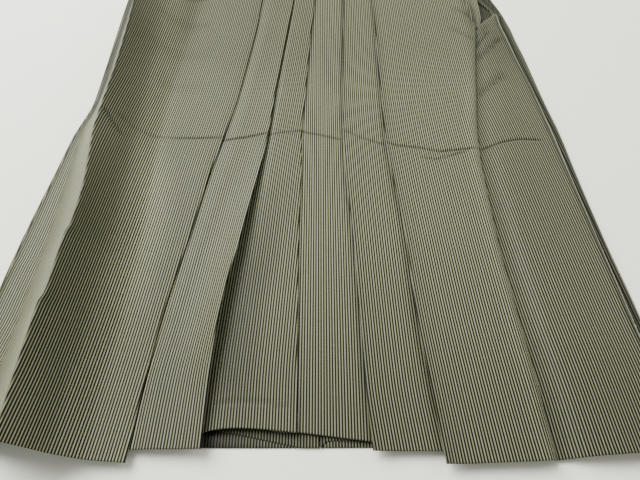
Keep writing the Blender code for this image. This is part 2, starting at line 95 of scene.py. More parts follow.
# Right side, on -X: from a flat edge and a foot the front rises steeply to a sharp crest. It
# falls over the shoulder and the flank into a hollow, which lies higher than fold a by rise.
RIGHT_COLUMNS = ("y", "back_edge", "front_edge", "edge_z", "foot", "crest", "crest_z",
                 "shoulder", "shoulder_z", "flank", "flank_z", "hollow", "rise")
RIGHT_ROWS = (
    (0, -292, -289, 1.8, -262, -212, 52, -205, 40, -189, 20, -167, 1.5),
    (57, -291, -288, 1.8, -262, -212, 56, -205, 43, -189, 20.5, -168, 1.8),
    (117, -289, -286, 1.8, -261, -210, 60, -202.5, 45.5, -186, 20.5, -166, 2.0),
    (197, -284, -281, 1.8, -260, -208, 60, -200.5, 45.5, -184.5, 20, -165, 1.8),
    (277, -276, -273, 1.8, -261, -212, 58, -204.5, 44, -188.5, 20, -168, 1.8),
    (328, -271, -268, 1.8, -262, -215, 56, -207.5, 43, -190.5, 20, -169, 1.8),
    (387, -261, -258, 1.8, -255, -216, 56, -208.5, 43, -191, 20.5, -167, 1.8),
    (457, -262, -259, 1.8, -255, -218, 56, -210.5, 43, -192, 21, -163, 2.0),
    (511, -263, -260, 1.8, -256, -221, 54, -213, 42, -192, 23, -158, 2.0),
    (585, -264, -261, 1.8, -256, -223, 49, -214, 39, -190, 21.5, -150, 1.5),
    (631, -255, -247, 2.9, -242, -212, 41, -203, 33, -179, 18.5, -138, 1.0),
    (677, -242, -228, 4.0, -223, -197, 32, -188, 26.5, -165, 16, -125, 0.4),
    (777, -210, -184, 4.4, -179, -162, 18, -151, 14.5, -130, 11.5, -98, -0.4),
    (877, -175, -146, 4.4, -142, -129, 9, -120, 8.4, -108, 7.7, -86, -0.4),
    (BAND_LOW, -163, -132, 4.4, -128, -118, 5.4, -112, 5.7, -102, 6.0, -84, -0.4),
    (BACK_TOP, -160, -132, 4.4, -128, -118, 5.4, -112, 5.7, -102, 6.0, -84, -0.4),
)

# Left side, on +X: the side seam lies on top in a shallow valley. Beyond it the back
# cloth rises to a flat ledge and a crest, drops steeply and turns under at back_edge.
LEFT_COLUMNS = ("y", "swell", "swell_z", "seam", "seam_z", "wrap_end", "wrap_z", "ledge_in",
                "ledge_in_z", "ledge_out", "ledge_out_z", "crest", "crest_z", "strip", "back_edge")
LEFT_ROWS = (
    (0, 146, 9.8, 174, 4.4, 173, 3.5, 198, 9.0, 228, 12.5, 267, 13, 276, 281),
    (57, 146, 9.8, 173, 4.4, 172, 3.5, 197, 9.0, 226, 12.5, 263.5, 13, 273.5, 280),
    (117, 144, 9.6, 170, 4.4, 169, 3.5, 193, 9.2, 223, 12.5, 259, 13, 269.5, 277),
    (197, 141, 9.5, 167.5, 4.4, 166.5, 3.5, 191, 9.2, 219, 12.2, 254.5, 12.5, 264, 270.5),
    (277, 143, 9.4, 168, 4.4, 167, 3.5, 191, 9.0, 217, 11.8, 249.5, 12, 259, 266),
    (328, 148, 9.4, 171.5, 4.5, 170.5, 3.6, 193, 8.6, 217, 11.4, 246, 11.7, 256, 264),
    (387, 158, 9.2, 180, 4.6, 179, 3.7, 199, 8.4, 217, 11, 242.5, 11.3, 251, 258.5),
    (457, 170, 8.8, 190.5, 4.8, 189.5, 3.9, 205, 8.2, 218, 10.4, 234, 10.8, 243, 253.5),
    (500, 178, 8.4, 198.3, 5.0, 197.3, 3.9, 208, 8.0, 218, 10.2, 229.5, 10.6, 238.5, 249),
    (514, 180, 8.3, 200, 5.8, 199.5, 3.0, 203.5, 7.2, 216, 9.8, 228, 10.4, 237, 248),
    (523, 179, 8.6, 199.8, 7.8, 206.5, 2.5, 211, 8.0, 218, 9.6, 228, 10.2, 236.5, 247),
    (532, 178, 9.0, 199.5, 10, 216.5, 2.4, 220.5, 8.0, 224, 9.2, 229, 9.8, 236, 245.5),
    (540, 177, 9.6, 199.2, 11.5, 225, 2.3, 228, 6.4, 229.5, 7.4, 231, 7.8, 236, 244.5),
    (549, 176, 10, 199, 12.5, 229, 2.3, 230, 2.4, 231, 2.5, 232, 2.6, 235.5, 243),
    (585, 169, 10.5, 194, 13, 213, 2.3, 214.5, 2.5, 216.5, 2.7, 219, 2.8, 227, 234),
    (631, 160, 10.5, 185, 12.5, 207, 2.2, 208, 2.2, 209.5, 2.2, 211, 2.3, 218, 225),
    (677, 150, 10, 174, 11, 200, 1.8, 201, 1.8, 202, 1.8, 203, 1.8, 209, 215),
    (777, 134, 8.6, 157, 8.5, 176, 1.8, 177, 1.8, 178, 1.8, 179, 1.8, 184, 190),
    (877, 118, 6.5, 138, 6.5, 152, 1.8, 153, 1.8, 154, 1.8, 155, 1.8, 159, 165),
    (BAND_LOW, 114, 6.0, 132, 5.7, 145, 1.8, 146, 1.8, 147, 1.8, 148, 1.8, 152, 158),
    (BACK_TOP, 114, 6.0, 132, 5.7, 142, 1.8, 143, 1.8, 144, 1.8, 145, 1.8, 149, 155),
)

# Place of one chosen warp thread in each panel, which sets how the stripes run.
THREAD_COLUMNS = ("y", "panel_1", "panel_2", "panel_3", "panel_4", "panel_5", "panel_6", "wrap")
THREAD_ROWS = (
    (0, -150, -95, -30, 5, 50, 110, 225),
    (57, -144.5, -94, -30, 5, 45, 105.5, 221.5),
    (117, -138.5, -88, -27.5, 5, 42.5, 100.5, 215),
    (197, -130.5, -79, -22.5, 5, 39.5, 95, 207.5),
    (277, -122.5, -69, -17, 5, 36.5, 89.5, 199.5),
    (328, -116, -61.5, -12, 5, 35, 86.5, 194),
    (387, -108, -53.5, -6, 5, 34.5, 84.5, 187),
    (457, -101, -46.5, 1, 5, 35, 83, 180),
    (511, -96, -42, 6, 5, 36, 82.5, 176),
    (585, -92, -36, 12, 5, 37, 81.5, 170),
    (BACK_TOP, -76, -27, 15, 5, 25, 60, 130),
)
BACK_THREAD = 150.0      # the same in the backs, by distance from the centre,
WIDE_BACK = 200.0        # on -X where a back reaches this far there, otherwise on +X

# Sideways jogs of the right crest, where the cloth buckles a little
JOG_COLUMNS = ("y", "jog")
JOG_ROWS = (
    (0, -2.5), (24, -2.5), (65, -1.5), (95, -0.8), (106, -1.2), (112, 1.0), (122, 1.7), (140, 0.9),
    (160, 0.5), (168, 0.3), (176, 2.6), (195, 2.6), (223, 1.8), (258, -0.7), (292, -3.0),
    (304, -2.6), (320, -1.8), (340, -1.0), (371, 0),
)

# Strips of cloth turned under along the side openings
FOLD_COLUMNS = ("y", "right_in", "right_out", "right_z", "left_in", "left_out", "left_z")
FOLD_ROWS = (
    (508, -250, -258, 0, 186, 200, 3.2),
    (520, -250, -258, 0, 187, 206, 3.6),
    (534, -250, -258, 0, 188, 211, 6.2),
    (550, -250, -258, 0, 187, 211, 7.8),
    (585, -250, -258, 0, 184, 212, 8.4),
    (600, -246, -256, 0, 181, 211, 8.4),
    (677, -217, -237, 2.4, 164, 196, 7.6),
    (777, -174, -203, 2.8, 148, 181, 5.0),
    (877, -137, -168, 2.9, 130, 163, 4.2),
    (BAND_LOW - 1, -124, -156, 3.0, 124, 156, 4.1),
)
FOLD_START = {"right": 677, "left": 508}             # heights of their feet
FOLD_CLOTH = 0.35
FOLD_PITCH = 0.5                                     # between the two layers of a strip

# Waistband: half its length, mid heights of its two layers, rounding of its lower edge
BAND_HALF = 158.0
BAND_UNDER = THIRD_LAYER
BAND_OVER = 9.0
BAND_WALL = 0.8
BAND_EDGE = 0.5
BAND_TURN = 6.0          # cloth turned in at the lower edge
BAND_BULGE = 0.35
BAND_SUNK = 0.5          # the middle of its cloth stays this far below its top

# Gusset, a kite between the legs
GUSSET_LOW = 345.0
GUSSET_HIGH = 425.0
GUSSET_HALF = 34.0
GUSSET_TIP = 4.0         # half its width at the tips

# Back board: half its width below and above, height of its shoulders, its upper corners, and
# half the middle line towards which the rings of its cover run
BOARD_LOW_HALF = 135.0
BOARD_TOP_HALF = 104.0
BOARD_SHOULDER = 40.0
BOARD_CORNER = 7.0
BOARD_CORE_HALF = 70.0

# Ties, folded back and forth between TIE_IN and TIE_OUT
TIE_WIDTH = 28.0
TIE_THICK = 1.4
TIE_PITCH = 1.9          # from run to run
TIE_LOW = 0.8            # mid height of the lowest run, and room left at both ends
TIE_OUT = 292.0
TIE_IN = 172.0
TIE_LEAD = 2.0           # straight part at the root
TIE_DROP = 10.0          # length over which it drops to the surface
FRONT_TIE_Y, FRONT_TIE_RUNS = 927.0, 12
BACK_TIE_Y, BACK_TIE_RUNS = 966.0, 6
BACK_TIE_ROOT = 2.0      # mid height where a back tie leaves the board

# Bar tacks: both ends of each one, and its threads
TACKS = {
    "right": ((-263.5, 596, 2.6), (-257, 598, 3.6)),
    "left": ((196.5, 512, 6.3), (204, 515, 6.6)),
}
TACK_THREADS = 4
TACK_PITCH = 0.7
TACK_RADIUS = 0.32
TACK_TIP = 0.02          # radius at its ends
TACK_ARCH = 0.9
TACK_SUNK = 0.4          # how far its ends sink into the cloth

# Back: width of the cloth turned in at the centre
TURN_COLUMNS = ("y", "turn")
TURN_ROWS = (
    (0, 95), (57, 90), (117, 80), (197, 65), (277, 50), (328, 42), (387, 35), (457, 30),
    (511, 28), (585, 26), (677, 24), (777, 22), (877, 20), (BACK_TOP, 20),
)

# Small steps of the sections
CENTRE_SPLIT = 0.15      # each back cloth stops this far from the centre line
PAST_FOLD = 1.0          # a panel stays on top up to this far beyond the deep fold below it
EDGE_RISE = 0.6          # from the right edge to the foot of the crest
PANEL_3_DROP = 1.0       # panel 3 comes out from fold b this much lower
LEFT_FLARE = 3.0         # lift of folds d and e at the hem
FLARE_LEAN = 380.0       # fold b moves inwards by its x times its lift over this
BESIDE_SEAM = 0.4        # the valley at the left seam ends this share of the way to the ledge,
BESIDE_RISE = 0.15       # risen by this share
STRIP_RIM = 4.0          # height of the strip outside the left crest
STRIP_HALF = 1.5         # half the width of the valley along that strip
STRIP_FLOOR = 0.4        # height of that valley over the second layer
STRIP_EDGE = 2.0         # width over which the strip falls to its outer edge
STRIP_SHARE = 0.8        # share of the strip's height where that begins
SEAM_ROLL = 10.0         # width over which the front rolls down to the left side seam
SEAM_RISE = 1.2          # height of the roll over the swell before it
SEAM_ARC = 0.985         # share of a quarter circle's width that the roll takes

# Hem heights at named places across the front and back
HEM = {
    "right edge": 14, "right foot": 13, "right crest": 10, "right flank": 6, "right hollow": 3.5,
    "panel 1": 2, "panel 2": 11, "panel 3": 23, "panel 4": 23.5, "panel 5": 10, "panel 6": 1,
    "seam": 4, "left crest": 14.5, "left edge": 15, "back": 13,
    "deep a": 7, "deep b": 17, "deep c": 28, "deep d": 17, "deep e": 8,
}
HEM_ARCH = 3.2           # how far the hem of panel 3 arches up
ARCH_LEAN = 0.7          # below 1 the top of the arch lies nearer to fold b
# The same for the layers turned in at the centre, by distance from it, and what the right
# back's hem rises by, by place across
TURN_HEMS = {"right": ((1, 15, 21, 75, 95), (13, 13, 14, 24.7, 28.5)),
             "left": ((1, 3, 40, 95), (13, 17.3, 19.7, 23))}
BACK_HEM_RISE = (-222, -206), (4.5, 0)

# Painted light and shade on the silk, as tones where 1 is its full colour: painted shadows beside
# folds, under hems and in hollows, and painted light on slopes. Each pair holds places, and tones
# or shares of a tone there. The places are heights, unless a comment says otherwise.
UPPER_TONES = (390, 460, 560), (1, 0.85, 0.82)       # painted shade over the whole right front, higher up
RIM_TONES = (320, 370), (1, 0.5)                     # painted shade outside the right crest, higher up
EDGE_TONES = (0, 3, 6), (0.5, 0.7, 1)                # painted shade at the right edge, by distance from it
FLANK_LIGHT = (8, 20, 35, 50, 68), (0, 0.17, 0.38, 0.3, 0)      # painted light on the flank, by distance from the right crest
FLANK_SHARE = (20, 60, 115, 150, 260, 330), (0, 0.2, 0.8, 1.6, 1.6, 1)
FLANK_WIDTH = (270, 400), (1, 0.78)                  # how wide the painted light on the flank is
LOW_TONES = (0, 60, 130), (0.86, 0.86, 1)            # painted shade on panels 2 and 3, low down
BESIDE_A = (0, 1.6, 3.2), (1, 1, 0)                  # painted shadow by distance from fold a
BESIDE_A_SHADOW = (60, 200, 350, 450), (-0.3, 0.2, 0.25, 0.55)
BESIDE_B = (0, 5, 10, 20, 32, 44), (-0.6, 0, 1, 1.3, 0.8, 0)   # painted light at fold b's edge, then painted shadow, by distance from fold b
BESIDE_B_SHADOW = (0, 30, 64, 154, 220, 280), (0.1, 0.15, 0.28, 0.3, 0.12, 0)
BESIDE_C = (-2, 0, 1.6, 3.4), (0, 1, 1, 0)           # painted shadow by distance from fold c
BESIDE_C_SHADOW = (350, 450), (0, 0.4)
BESIDE_D = (-4, -2, 0.8, 2.5)                        # painted shadow by distance from fold d
BESIDE_D_TONES = (350, 450), (0.7, 0.45)
BESIDE_E = (-5, -1.5, 2.5, 4), (1, 0.7, 0.75, 1)     # painted shadow by distance from fold e
ROLL_FADE = (-8, 1)                                  # distance from where the seam's roll begins, with painted light on the roll low down and painted shade higher up
ROLL_TONES = (390, 470, 520), (1.18, 0.95, 0.8)
LEFT_TONES = (0, 45, 110, 200, 400, 470), (0.82, 0.86, 1, 1.12, 1.12, 1)   # painted light and shade over the whole left front
WRAP_TONES = (0, 45, 110, 400, 450, 500), (0.82, 0.86, 1, 1, 0.85, 0.78)   # painted shade over the whole wrap
UNDER_SHADOW = (-100, -88, -72, -50, -15, 40, 60), (1, 0.2, 0.3, 0.5, 0.62, 0.72, 1)  # painted shadow under the front's hem, across
SIDE_FOLD_TONES = (0, 1, 5), (0.5, 0.6, 1.05)        # painted shadow, then painted light, by distance from the left front
FOLD_SHADE = 0.3                                      # painted shade at the centre folds of the back
FOLD_MARGIN = 0.1                                    # and this far before them
SHADE_TONE = 0.4                                     # painted shade deep in the left side opening
SHADE_LOW = 500.0                                    # the height where that begins
# Painted shade across the wrap, darkest on the wall below its crest:
# a named place, a distance beyond it and the tone there
WRAP_ACROSS = (
    ("wrap_end", 3, 0.82), ("beside", 6, 0.97), ("crest", -3, 0.95), ("crest", -1, 0.62),
    ("crest", 0.4, 0.34), ("strip", 3, 0.34), ("strip", 5.5, 0.85), ("outer", 0, 0.7),
)


def soft_curve(px, pz, x):
    """Heights at x on a monotone cubic curve through points with rising px."""
    px, pz, x = (np.asarray(values, float) for values in (px, pz, x))
    span = np.diff(px)
    steps = np.diff(pz) / span
    slopes = np.zeros(len(px))
    slopes[0], slopes[-1] = steps[0], steps[-1]
    product = steps[:-1] * steps[1:]
    total = steps[:-1] + steps[1:]
    slopes[1:-1] = np.where(product > 0, 2 * product / np.where(total == 0, 1, total), 0)
    i = np.clip(np.searchsorted(px, x, side="right") - 1, 0, len(span) - 1)
    t = (x - px[i]) / span[i]
    return ((1 + 2 * t) * (1 - t) ** 2 * pz[i] + t * (1 - t) ** 2 * span[i] * slopes[i]
            + t * t * (3 - 2 * t) * pz[i + 1] + t * t * (t - 1) * span[i] * slopes[i + 1])


class Table:
    """Rows of sizes up the garment, read at any height along smooth curves."""

    def __init__(self, names, rows):
        self.columns = dict(zip(names, np.array(rows, float).T))

    def at(self, y):
        heights = self.columns["y"]
        y = min(max(y, heights[0]), heights[-1])
        return {name: float(soft_curve(heights, column, y))
                for name, column in self.columns.items()}


pleat_table = Table(PLEAT_COLUMNS, PLEAT_ROWS)
right_table = Table(RIGHT_COLUMNS, RIGHT_ROWS)
left_table = Table(LEFT_COLUMNS, LEFT_ROWS)
turn_table = Table(TURN_COLUMNS, TURN_ROWS)
jog_table = Table(JOG_COLUMNS, JOG_ROWS)
fold_table = Table(FOLD_COLUMNS, FOLD_ROWS)
thread_table = Table(THREAD_COLUMNS, THREAD_ROWS)


class Section:
    """Points across a piece at one height up the garment, in order round its folds.

    hem is how far the hem lies above the lowest point there, and tone the painted light and
    shade on the silk. under says how the hem turns: -1 is a full turn below the cloth, +1 one above
    it.
    """

    def __init__(self, y):
        self.y = y
        self.x, self.z, self.hem, self.under, self.tone, self.panel = [], [], [], [], [], []

    def add(self, x, z, hem, panel, under=-1.0, tone=1.0):
        """Add points. A pair stands for values spread evenly between its two numbers."""
        count = len(x)
        columns = ((self.x, x), (self.z, z), (self.hem, hem), (self.under, under),
                   (self.tone, tone))
        for column, values in columns:
            if isinstance(values, tuple):
                values = np.linspace(*values, count)
            column.extend(np.broadcast_to(values, count))
        self.panel.extend([panel] * count)

    def add_turn(self, x, z_from, z_to, side, hem, panel, under=-1.0):
        """Add a half round fold whose cloth reaches x on the given side (+1 is +X)."""
        radius = abs(z_from - z_to) / 2
        angles = np.linspace(90, -90, TURN_STEPS + 1)[1:-1] * (1 if z_from > z_to else -1)
        angles = np.radians(angles)
        self.add(x - side * (radius + CLOTH / 2) + side * radius * np.cos(angles),
                 (z_from + z_to) / 2 + radius * np.sin(angles), hem, panel, under)

    def add_pleat(self, edge, deep, top, pitch, side, hems, panels):
        """Add a knife pleat below a panel: fold edge, return, deep fold, start of the next."""
        root, deep_root = turn_root(edge, pitch, side), turn_root(deep, pitch, -side)
        self.add_turn(edge, top, top - pitch, side, hems[0], panels[0])
        self.add(np.linspace(root, deep_root, 5), top - pitch, hems, panels[0])
        self.add_turn(deep, top - pitch, top - 2 * pitch, -side, hems[1], panels[1])
        self.add([deep_root], top - 2 * pitch, hems[1], panels[1])

    def add_pleat_up(self, edge, deep, base, pitch, hems, panels):
        """Add a knife pleat met from below: deep fold, return, fold edge towards -X."""
        root, deep_root = turn_root(edge, pitch, -1), turn_root(deep, pitch, 1)
        self.add([deep_root], base, hems[0], panels[0])
        self.add_turn(deep, base, base + pitch, 1, hems[0], panels[0])
        self.add(np.linspace(deep_root, root, 5), base + pitch, hems, panels[1])
        self.add_turn(edge, base + pitch, base + 2 * pitch, -1, hems[1], panels[1])

    def lift(self, panel, deep, reach, amount, lean_over=math.inf):
        """Lift a panel's fold edge off the layers below it, from its deep fold on."""
        x, z = np.array(self.x), np.array(self.z)
        rise = np.clip((x - deep) / reach, 0, 1) ** 2 * amount
        rise = np.where(np.array(self.panel) == panel, rise, 0)
        self.x, self.z = list(x * (1 - rise / lean_over)), list(z + rise)


def turn_root(x, pitch, side):
    """Where a layer stops and its fold begins."""
    return x - side * (pitch / 2 + CLOTH / 2)


def joined(*spans):
    """Values along spans (start, end, count) that share their ends."""
    parts = [np.linspace(*spans[0])] + [np.linspace(*span)[1:] for span in spans[1:]]
    return np.concatenate(parts)


def sharp_side(places, heights, x):
    """Heights from an edge over a foot and straight up to a sharp crest."""
    edge, foot, crest = places
    span, rise = crest - foot, heights[2] - heights[1]
    px = (edge, foot, foot + 0.15 * span, foot + 0.9 * span, crest)
    pz = (heights[0], heights[1], heights[1] + 0.1 * rise, heights[1] + 0.9 * rise, heights[2])
    return soft_curve(px, pz, x)


def ridge_across(side, high, root_a):
    """Panel 1 from the right edge over the crest to fold a: places, heights and hem heights."""
    names = ("front_edge", "foot", "crest", "shoulder", "flank", "hollow")
    places = [side[name] for name in names] + [root_a]
    heights = [side["edge_z"], side["edge_z"] + EDGE_RISE, side["crest_z"], side["shoulder_z"],
               side["flank_z"], high + side["rise"], high]
    hem_names = ("right edge", "right foot", "right crest", "right flank", "right hollow",
                 "panel 1")
    x = joined(*zip(places, places[1:], (6, 26, 12, 10, 14, 8)))
    z = np.where(x <= side["crest"], sharp_side(places[:3], heights[:3], x),
                 soft_curve(places[2:], heights[2:], x))
    return x, z, soft_curve(places[:3] + places[4:], [HEM[name] for name in hem_names], x)


def right_painted_light(y, x, panels, pleats, side):
    """Painted light on the right front's flank, painted shade at its edges and folds a and b."""
    reach = np.interp(y, *FLANK_WIDTH) * np.array(FLANK_LIGHT[0])
    flank = np.interp(x - side["crest"], reach, FLANK_LIGHT[1])
    flank = 1 + flank * np.interp(y, *FLANK_SHARE)
    flank = flank * np.where(x < side["crest"] + 1, np.interp(y, *RIM_TONES), 1)
    flank = flank * np.interp(x - side["front_edge"], *EDGE_TONES)
    beside_a = 1 - np.interp(y, *BESIDE_A_SHADOW) * np.interp(x - pleats["fold_a"], *BESIDE_A)
    beside_b = 1 - np.interp(y, *BESIDE_B_SHADOW) * np.interp(x - pleats["fold_b"], *BESIDE_B)
    beside = np.where(panels == "panel_3", beside_b, beside_a) * np.interp(y, *LOW_TONES)
    return np.where(panels == "panel_1", flank, beside) * np.interp(y, *UPPER_TONES)


def front_right_section(y):
    """Panels 1, 2 and 3, from the side edge to the hidden end behind fold c."""
    pleats, side = pleat_table.at(y), right_table.at(y)
    side["crest"] += jog_table.at(y)["jog"]
    a, b, c = (pleats[name] for name in ("fold_a", "fold_b", "fold_c"))
    depth, pitch = pleats["depth"], pleats["pitch"]
    low = FRONT_LAYER + pleats["lift"]
    high = low + 2 * pitch
    top_3 = FRONT_LAYER + 2 * pitch
    root_a, root_b, root_c = (turn_root(x, pitch, 1) for x in (a, b, c))
    deep_a, deep_b, deep_c = a - depth / 2, b - depth, c - depth
    section = Section(y)
    section.add(*ridge_across(side, high, root_a), "panel_1")
    section.add_pleat(a, deep_a, high, pitch, 1, (HEM["panel 1"], HEM["deep a"]),
                      ("panel_1", "panel_2"))
    x = joined((a, deep_b - PAST_FOLD, 16), (deep_b - PAST_FOLD, root_b, 10))
    section.add(x, soft_curve((a, deep_b - PAST_FOLD, root_b), (low, high, high), x),
                HEM["panel 2"], "panel_2")
    section.add_pleat(b, deep_b, high, pitch, 1, (HEM["panel 2"], HEM["deep b"]),
                      ("panel_2", "panel_3"))
    x = joined((b, deep_c - PAST_FOLD, 16), (deep_c - PAST_FOLD, root_c, 12))
    z = soft_curve((b, deep_c - PAST_FOLD, root_c), (low - PANEL_3_DROP, top_3, top_3), x)
    arch = HEM_ARCH * np.sin(np.pi * np.clip((x - b) / (root_c - b), 0, 1) ** ARCH_LEAN)
    section.add(x, z, HEM["panel 3"] + arch, "panel_3")
    section.lift("panel_2", deep_b, depth, pleats["flare"], FLARE_LEAN)
    shown, panels = np.array(section.x), np.array(section.panel)
    # Painted light and shade of panels 1, 2 and 3
    section.tone = list(right_painted_light(y, shown, panels, pleats, side))
    section.add_turn(c, top_3, top_3 - pitch, 1, HEM["panel 3"], "panel_3")
    section.add(np.linspace(root_c, deep_c, 5), top_3 - pitch, (HEM["panel 3"], HEM["deep c"]),
                "panel_3")
    return section


def swell_across(side, root_e, past_fold, high):
    """Panel 6 over its swell and round the roll at the side seam: places and heights."""
    swell, swell_z, seam, seam_z = (side[name] for name in ("swell", "swell_z", "seam", "seam_z"))
    roll = seam - SEAM_ROLL
    roll_z = max(swell_z + SEAM_RISE, seam_z)
    x = joined((root_e, past_fold, 6), (past_fold, swell, 18), (swell, roll, 8), (roll, seam, 14))
    z = soft_curve((root_e, past_fold, swell, roll), (high, high, swell_z, roll_z),
                   np.minimum(x, roll))
    over = SEAM_ARC * np.clip((x - roll) / SEAM_ROLL, 0, 1)
    z -= (roll_z - seam_z) * (1 - np.sqrt(1 - over ** 2)) / (1 - np.sqrt(1 - SEAM_ARC ** 2))
    return x, z


def left_edge_painted_shade(y, x, pleats):
    """Painted shade of the left front beside its fold edges, most so higher up."""
    beside_d = np.interp(y, *BESIDE_D_TONES)
    edges = np.interp(x - pleats["fold_d"], BESIDE_D, (1, beside_d, beside_d, 1))
    beside_c = np.interp(y, *BESIDE_C_SHADOW) * np.interp(x - pleats["fold_c"], *BESIDE_C)
    return edges * (1 - beside_c) * np.interp(x - pleats["fold_e"], *BESIDE_E)


def front_left_section(y):
    """Panels 4, 5 and 6, from the hidden end behind fold c to the side seam."""
    pleats, side = pleat_table.at(y), left_table.at(y)
    c, d, e = (pleats[name] for name in ("fold_c", "fold_d", "fold_e"))
    depth, pitch = pleats["depth"], pleats["pitch"]
    low = FRONT_LAYER + pleats["lift"]
    high = low + 2 * pitch
    top_5 = FRONT_LAYER + 2 * pitch
    deep_c, deep_d, deep_e = c - depth, d + depth, e + depth / 2
    root_d, root_e = (turn_root(x, pitch, -1) for x in (d, e))
    section = Section(y)
    section.add(np.linspace(deep_c, c, 4)[:-1], FRONT_LAYER, (HEM["deep c"], HEM["panel 4"]),
                "panel_4")
    section.add(np.linspace(c, d, 24), FRONT_LAYER, (HEM["panel 4"], HEM["deep d"]), "panel_4")
    section.add_pleat_up(d, deep_d, FRONT_LAYER, pitch, (HEM["deep d"], HEM["panel 5"]),
                         ("panel_4", "panel_5"))
    x = joined((root_d, deep_d + PAST_FOLD, 12), (deep_d + PAST_FOLD, e, 14))
    section.add(x, soft_curve((root_d, deep_d + PAST_FOLD, e), (top_5, top_5, low), x),
                HEM["panel 5"], "panel_5")
    section.add_pleat_up(e, deep_e, low, pitch, (HEM["deep e"], HEM["panel 6"]),
                         ("panel_5", "panel_6"))
    x, z = swell_across(side, root_e, deep_e + PAST_FOLD, high)
    roll = side["seam"] - SEAM_ROLL
    # Panel 6 has painted light on its roll down to the seam, painted shade higher up
    section.add(x, z, (HEM["panel 6"], HEM["seam"]), "panel_6",
                tone=np.interp(x - roll, ROLL_FADE, (1, np.interp(y, *ROLL_TONES))))
    flare = LEFT_FLARE * (1 - y / BACK_TOP)
    section.lift("panel_5", deep_d, -depth, flare)
    section.lift("panel_6", deep_e, -depth / 2, flare)
    # Painted shade beside the fold edges, and painted light and shade over the whole left front
    edge_tones = left_edge_painted_shade(y, np.array(section.x), pleats)
    section.tone = list(np.array(section.tone) * edge_tones * np.interp(y, *LEFT_TONES))
    return section


def back_right_section(y):
    """Flat back of the right leg, turned in over itself at the centre."""
    back_edge, turn_in = right_table.at(y)["back_edge"], turn_table.at(y)["turn"]
    centre = -CENTRE_SPLIT
    root = turn_root(centre, LAYER, 1)
    section = Section(y)
    x = np.linspace(back_edge, root, 40)
    # Painted shadow under the front's hem
    section.add(x, GROUND_LAYER, HEM["back"] + np.interp(x, *BACK_HEM_RISE), "back", 0.6,
                np.interp(x, *UNDER_SHADOW))
    section.add_turn(centre, GROUND_LAYER, SECOND_LAYER, 1, HEM["back"], "back", 0.0)
    # Painted shade at the centre fold
    at_fold = np.array(section.x) > root - FOLD_MARGIN
    section.tone = list(np.where(at_fold, FOLD_SHADE, section.tone))
    x = np.linspace(root, centre - turn_in, 24)
    section.add(x, SECOND_LAYER, np.interp(-x, *TURN_HEMS["right"]), "back", -0.6,
                np.interp(x, *UNDER_SHADOW))
    return section


def wrap_across(side, outer):
    """Cloth brought over at the left side, from its outer edge inwards: places, heights, painted
    shade.
    """
    end, ledge_in, ledge_out, crest, strip = (
        side[name] for name in ("wrap_end", "ledge_in", "ledge_out", "crest", "strip"))
    strip_in, strip_out = strip - STRIP_HALF, strip + STRIP_HALF
    x = joined((outer, strip_out, 8), (strip_out, strip_in, 7), (strip_in, crest, 14),
               (crest, ledge_out, 14), (ledge_out, ledge_in, 12), (ledge_in, end, 14))
    beside = end + BESIDE_SEAM * (ledge_in - end)
    beside_z = side["wrap_z"] + BESIDE_RISE * (side["ledge_in_z"] - side["wrap_z"])
    rim = min(STRIP_RIM, side["crest_z"])
    edge_z = STRIP_SHARE * rim + (1 - STRIP_SHARE) * SECOND_LAYER
    places = (end, beside, ledge_in, ledge_out, crest, strip_in, strip, strip_out,
              outer - STRIP_EDGE, outer)
    heights = (side["wrap_z"], beside_z, side["ledge_in_z"], side["ledge_out_z"],
               side["crest_z"], rim, min(SECOND_LAYER + STRIP_FLOOR, rim), rim, edge_z,
               SECOND_LAYER)
    marks = dict(side, beside=beside, outer=outer)
    tone = np.interp(x, [marks[name] + beyond for name, beyond, _ in WRAP_ACROSS],
                     [tone for *_, tone in WRAP_ACROSS])
    return x, soft_curve(places, heights, x), tone


def back_left_section(y):
    """Back of the left leg, turned in at the centre and brought over at the side."""
    side, turn_in = left_table.at(y), turn_table.at(y)["turn"]
    centre, edge = CENTRE_SPLIT, side["back_edge"]
    root, outer = turn_root(centre, LAYER, -1), turn_root(edge, LAYER, 1)
    section = Section(y)
    x = np.linspace(centre + turn_in, root, 24)
    # Painted shadow under the front's hem
    section.add(x, SECOND_LAYER, np.interp(x, *TURN_HEMS["left"]), "back", -0.6,
                np.interp(x, *UNDER_SHADOW))
    section.add_turn(centre, SECOND_LAYER, GROUND_LAYER, -1, HEM["back"], "back", 0.0)
    # Painted shade at the centre fold
    at_fold = np.array(section.x) < root + FOLD_MARGIN
    section.tone = list(np.where(at_fold, FOLD_SHADE, section.tone))
    x = np.linspace(root, outer, 36)
    # Painted shade deep in the side opening, painted shadow under the front's hem lower down
    section.add(x, GROUND_LAYER, (HEM["back"], HEM["left edge"]), "back", 0.6,
                SHADE_TONE if y > SHADE_LOW else np.interp(x, *UNDER_SHADOW))
    section.add_turn(edge, GROUND_LAYER, SECOND_LAYER, 1, HEM["left edge"], "wrap", 0.0)
    # Painted shade across the wrap and over all of it
    x, z, tone = wrap_across(side, outer)
    section.add(x, z, (HEM["left crest"], HEM["seam"]), "wrap",
                tone=tone * np.interp(y, *WRAP_TONES))
    return section


def threads_across(section):
    """Distance across the cloth from each panel's chosen warp thread, in metres."""
    x, z = np.array(section.x), np.array(section.z)
    along = np.concatenate(([0], np.cumsum(np.hypot(np.diff(x), np.diff(z)))))
    places = thread_table.at(section.y)
    places["back"] = -BACK_THREAD if x.min() < -WIDE_BACK else BACK_THREAD
    across = np.zeros(len(x))
    names = np.array(section.panel)
    for name in dict.fromkeys(section.panel):
        own = names == name
        shown = own & (np.gradient(x) * (1 if name != "wrap" else -1) > 0)
        order = np.argsort(x[shown])
        px, pl = x[shown][order], along[shown][order]
        place = places[name]
        mark = np.interp(place, px, pl)
        mark += min(place - px[0], 0) * np.sign(pl[-1] - pl[0])
        mark += max(place - px[-1], 0) * np.sign(pl[-1] - pl[0])
        across[own] = along[own] - mark
    return across * MM


